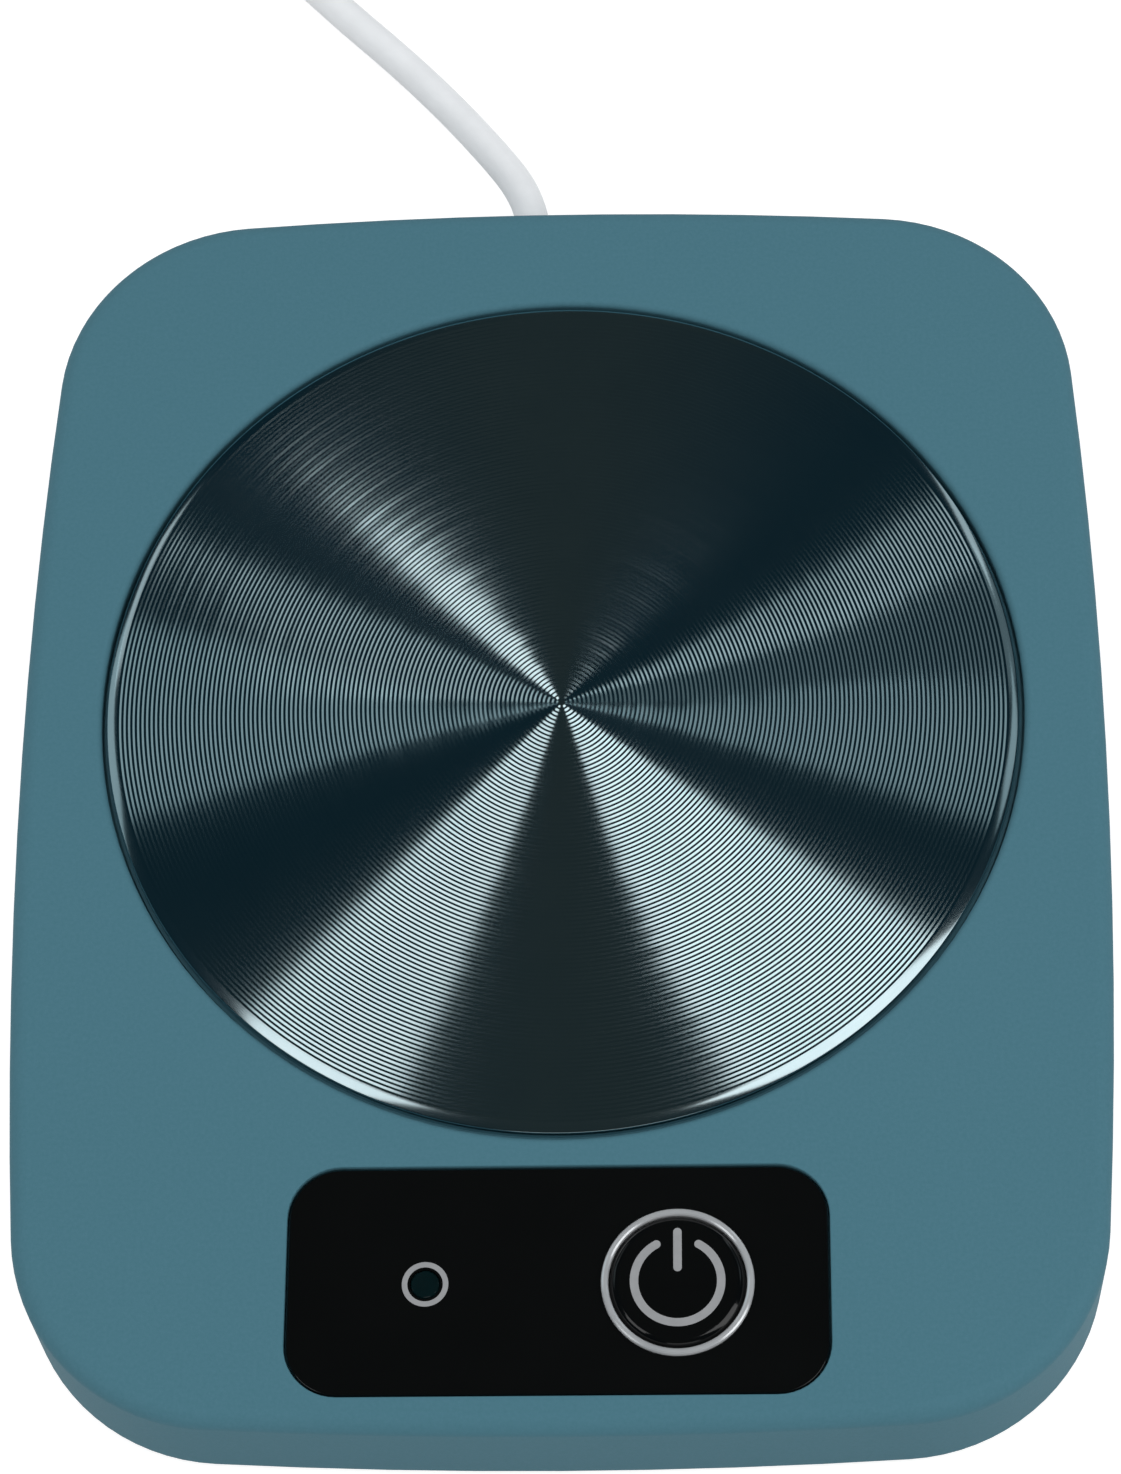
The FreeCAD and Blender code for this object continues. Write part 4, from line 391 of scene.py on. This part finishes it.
def mottled(name, dark, light, roughness, patches, grains, grain_depth, metallic=0.0, **extra):
    # moulded or coated surface: faint patches of colour and sheen, and a fine grain
    shader = Shader(name, light, roughness, metallic, **extra)
    shader.colours(shader.spread(shader.noise(patches), 0, 1), dark, light)
    sheen = shader.noise(patches * SHEEN_PATCHES)
    shader.roughness(sheen, roughness - SHEEN_SPREAD, roughness + SHEEN_SPREAD)
    shader.bump(shader.noise(grains, GRAIN_DETAIL), grain_depth)
    return shader.material


def shell_material():
    return mottled(
        "soft_teal", (70, 114, 127), (75, 118, 132), 0.62, 2600, 9000, 0.008, Specular_IOR_Level=0.1
    )


def plate_material():
    shader = Shader("turned_teal_metal", (178, 196, 200), 0.12, 1.0)
    patches = shader.spread(shader.noise(PLATE_PATCHES), 0, 1)
    shader.colours(patches, (174, 193, 198), (182, 199, 203))
    return shader.material


# name, darker and lighter colour, roughness, patches and grains a metre, grain depth in mm, metallic
MATERIALS = {
    "shell": shell_material(),
    "plate": plate_material(),
    "cover": mottled("cover_plastic", (40, 62, 70), (46, 70, 78), 0.5, 400, 7000, 0.02),
    "panel": mottled("panel_gloss", (8, 8, 8), (10, 10, 10), 0.09, 60, 900, 0.0005),
    "button": mottled("button_gloss", (7, 7, 7), (9, 9, 9), 0.1, 60, 900, 0.0005),
    "bright": mottled("bright_chrome", (205, 207, 210), (222, 224, 226), 0.2, 200, 4000, 0.0005, 0.5),
    "print": mottled("grey_print", (146, 147, 149), (154, 155, 157), 0.4, 800, 9000, 0.002),
    "lens": mottled("smoked_lens", (3, 18, 20), (5, 24, 26), 0.12, 300, 4000, 0.001),
    "feet": mottled("foot_rubber", (38, 38, 40), (46, 46, 48), 0.75, 500, 8000, 0.02),
    "steel": mottled("screw_steel", (150, 150, 153), (172, 172, 175), 0.3, 500, 8000, 0.003, 1.0),
    "tin": mottled("pressed_tin", (160, 160, 160), (185, 185, 183), 0.35, 150, 6000, 0.004, 1.0),
    # gasket coloured like the shell so the shaded gap round the plate reads teal: painted light and a
    # painted reflection of the shell wall
    "silicone": mottled("silicone_painted_gap_light", (66, 118, 133), (72, 124, 140), 0.6, 300, 6000, 0.01),
    "film": mottled("amber_film", (168, 92, 24), (190, 112, 36), 0.25, 200, 6000, 0.004),
    "fibre": mottled("pressed_fibre", (200, 196, 184), (218, 214, 204), 0.9, 400, 5000, 0.06),
    "board": mottled("board_lacquer", (14, 74, 38), (20, 92, 48), 0.25, 400, 6000, 0.004),
    "black": mottled("black_plastic", (24, 24, 26), (32, 32, 34), 0.45, 500, 8000, 0.01),
    "ivory": mottled("ivory_plastic", (206, 202, 188), (220, 216, 204), 0.45, 400, 7000, 0.01),
    "lead": mottled("lead_insulation", (140, 24, 22), (158, 32, 28), 0.45, 300, 6000, 0.006),
    "glassbead": mottled("glass_bead", (170, 84, 40), (190, 100, 50), 0.1, 300, 5000, 0.002),
    "cord": mottled("cord_jacket", (238, 239, 241), (243, 244, 246), 0.42, 400, 4000, 0.004),
    "gold": mottled("contact_gold", (214, 170, 92), (226, 186, 112), 0.25, 300, 6000, 0.002, 1.0),
}

for row in frame["record"]["subparts"]:
    node = NODES[row["node"]]
    node.data.materials.clear()
    node.data.materials.append(MATERIALS[row["material_slot"]])
cord.data.materials.append(MATERIALS["cord"])
plate.data.materials.append(MATERIALS["plate"])

# Floor, background and lamps: a white sweep, a dark studio above it and soft boxes around the plate

WHITE = (1.0, 1.0, 1.0)
FLOOR_HALF = 3.0
FLOOR_SHADE = 0.5
FLOOR_GLOW = 0.75
FILL_LEVEL = 0.78
FILL_COLOUR = (0.97, 0.99, 1.0)
STUDIO_SIDES = (0.006, 0.021, 0.030)
STUDIO_ENDS = (0.024, 0.035, 0.037)
SIDES_START, SIDES_FULL = 0.1, 0.4
SWEEP_LOW, SWEEP_HIGH = 0.05, 0.12
LAMP_DISTANCE = 0.6
COOL_LIGHT = (0.93, 1.01, 1.04)
TEAL_LIGHT = (0.86, 1.06, 1.12)

# name, azimuth, elevation and roll in degrees, width and height in metres, radiance, colour
LAMPS = (
    ("front_right_box", -25.4, 43.7, 3.6, 0.287, 0.610, 1.62, WHITE),
    ("front_left_box", -146.7, 52.9, 14.0, 0.210, 0.264, 1.46, WHITE),
    ("right_box", 23.7, 37.7, 33.6, 0.128, 0.161, 0.42, TEAL_LIGHT),
    ("right_back_box", 50.0, 22.9, 11.9, 0.070, 0.227, 0.65, COOL_LIGHT),
    ("right_fill_box", 41.0, 33.0, -17.6, 0.156, 0.191, 0.15, TEAL_LIGHT),
    ("left_back_box", 137.5, 29.5, 41.2, 0.190, 0.084, 0.64, COOL_LIGHT),
    ("left_box", 156.8, 28.0, 44.8, 0.229, 0.204, 0.46, TEAL_LIGHT),
    ("front_low_box", -84.0, 22.0, 0.0, 0.340, 0.130, 0.60, WHITE),
)


def add_flags(tree, path, *names):
    # one where any of the named kinds of ray looks at the surface
    total = path.outputs[names[0]]
    for name in names[1:]:
        add = tree.nodes.new("ShaderNodeMath")
        add.operation = "ADD"
        add.use_clamp = True
        tree.links.new(total, add.inputs[0])
        tree.links.new(path.outputs[name], add.inputs[1])
        total = add.outputs["Value"]
    return total


def make_floor():
    mesh = bpy.data.meshes.new("floor")
    corners = [(x * FLOOR_HALF, y * FLOOR_HALF, 0) for x, y in ((-1, -1), (1, -1), (1, 1), (-1, 1))]
    mesh.from_pydata(corners, [], [(0, 1, 2, 3)])
    floor = add_object("floor", mesh)
    material = bpy.data.materials.new("floor_white")
    material.use_nodes = True
    tree = material.node_tree
    surface = tree.nodes["Principled BSDF"]
    surface.inputs["Base Color"].default_value = (FLOOR_SHADE, FLOOR_SHADE, FLOOR_SHADE, 1)
    surface.inputs["Roughness"].default_value = 1.0
    surface.inputs["Specular IOR Level"].default_value = 0.0
    surface.inputs["Emission Color"].default_value = (*WHITE, 1)
    path = tree.nodes.new("ShaderNodeLightPath")
    seen = add_flags(tree, path, "Is Camera Ray", "Is Glossy Ray", "Is Transmission Ray")
    glow = tree.nodes.new("ShaderNodeMath")
    glow.operation = "MULTIPLY"
    glow.inputs[1].default_value = FLOOR_GLOW
    tree.links.new(seen, glow.inputs[0])
    tree.links.new(glow.outputs["Value"], surface.inputs["Emission Strength"])
    floor.data.materials.append(material)


def make_lamp(name, azimuth, elevation, roll, width, height, radiance, colour):
    # soft box that faces the middle of the plate; its power is its radiance times its area and pi
    azimuth, elevation, roll = math.radians(azimuth), math.radians(elevation), math.radians(roll)
    flat = math.cos(elevation)
    away = Vector((math.cos(azimuth) * flat, math.sin(azimuth) * flat, math.sin(elevation)))
    data = bpy.data.lights.new(name, "AREA")
    data.shape = "RECTANGLE"
    data.size, data.size_y = width, height
    data.energy = radiance * width * height * math.pi
    data.color = colour
    lamp = add_object(name, data)
    aim = Vector((PLATE_MIDDLE.x, PLATE_MIDDLE.y, PLATE_TOP))
    lamp.matrix_world = Matrix.Translation(aim + away * LAMP_DISTANCE) @ facing(away, roll)
    lamp.visible_camera = False


def make_world():
    world = bpy.data.worlds.new("world")
    bpy.context.scene.world = world
    world.use_nodes = True
    world.cycles.sampling_method = "NONE"
    tree = world.node_tree
    path = tree.nodes.new("ShaderNodeLightPath")

    def light(colour, strength=1.0):
        node = tree.nodes.new("ShaderNodeBackground")
        node.inputs["Color"].default_value = (*colour, 1)
        node.inputs["Strength"].default_value = strength
        return node.outputs["Background"]

    def mix(factor, first, second):
        node = tree.nodes.new("ShaderNodeMixShader")
        tree.links.new(factor, node.inputs["Fac"])
        tree.links.new(first, node.inputs[1])
        tree.links.new(second, node.inputs[2])
        return node.outputs["Shader"]

    def ramp(source, start, end, first, last):
        node = tree.nodes.new("ShaderNodeMapRange")
        node.inputs["From Min"].default_value = start
        node.inputs["From Max"].default_value = end
        node.inputs["To Min"].default_value = first
        node.inputs["To Max"].default_value = last
        tree.links.new(source, node.inputs["Value"])
        return node.outputs["Result"]

    # the white sweep ends a little above the horizon, and metal mirrors it up to there
    place = tree.nodes.new("ShaderNodeTexCoord")
    split = tree.nodes.new("ShaderNodeSeparateXYZ")
    tree.links.new(place.outputs["Generated"], split.inputs["Vector"])
    sideways = tree.nodes.new("ShaderNodeMath")
    sideways.operation = "ABSOLUTE"
    tree.links.new(split.outputs["X"], sideways.inputs[0])
    sweep = ramp(split.outputs["Z"], SWEEP_LOW, SWEEP_HIGH, 1.0, 0.0)
    sides = ramp(sideways.outputs["Value"], SIDES_START, SIDES_FULL, 0.0, 1.0)
    studio = mix(sides, light(STUDIO_ENDS), light(STUDIO_SIDES))
    white = light(WHITE)
    mirrored = mix(sweep, studio, white)
    lit = mix(path.outputs["Is Glossy Ray"], light(FILL_COLOUR, FILL_LEVEL), mirrored)
    seen = mix(add_flags(tree, path, "Is Camera Ray", "Is Transmission Ray"), lit, white)
    tree.links.new(seen, tree.nodes["World Output"].inputs["Surface"])
    tree.nodes.remove(tree.nodes["Background"])


make_floor()
make_world()
for lamp_row in LAMPS:
    make_lamp(*lamp_row)
bpy.context.scene.view_settings.view_transform = "Standard"
bpy.context.view_layer.update()
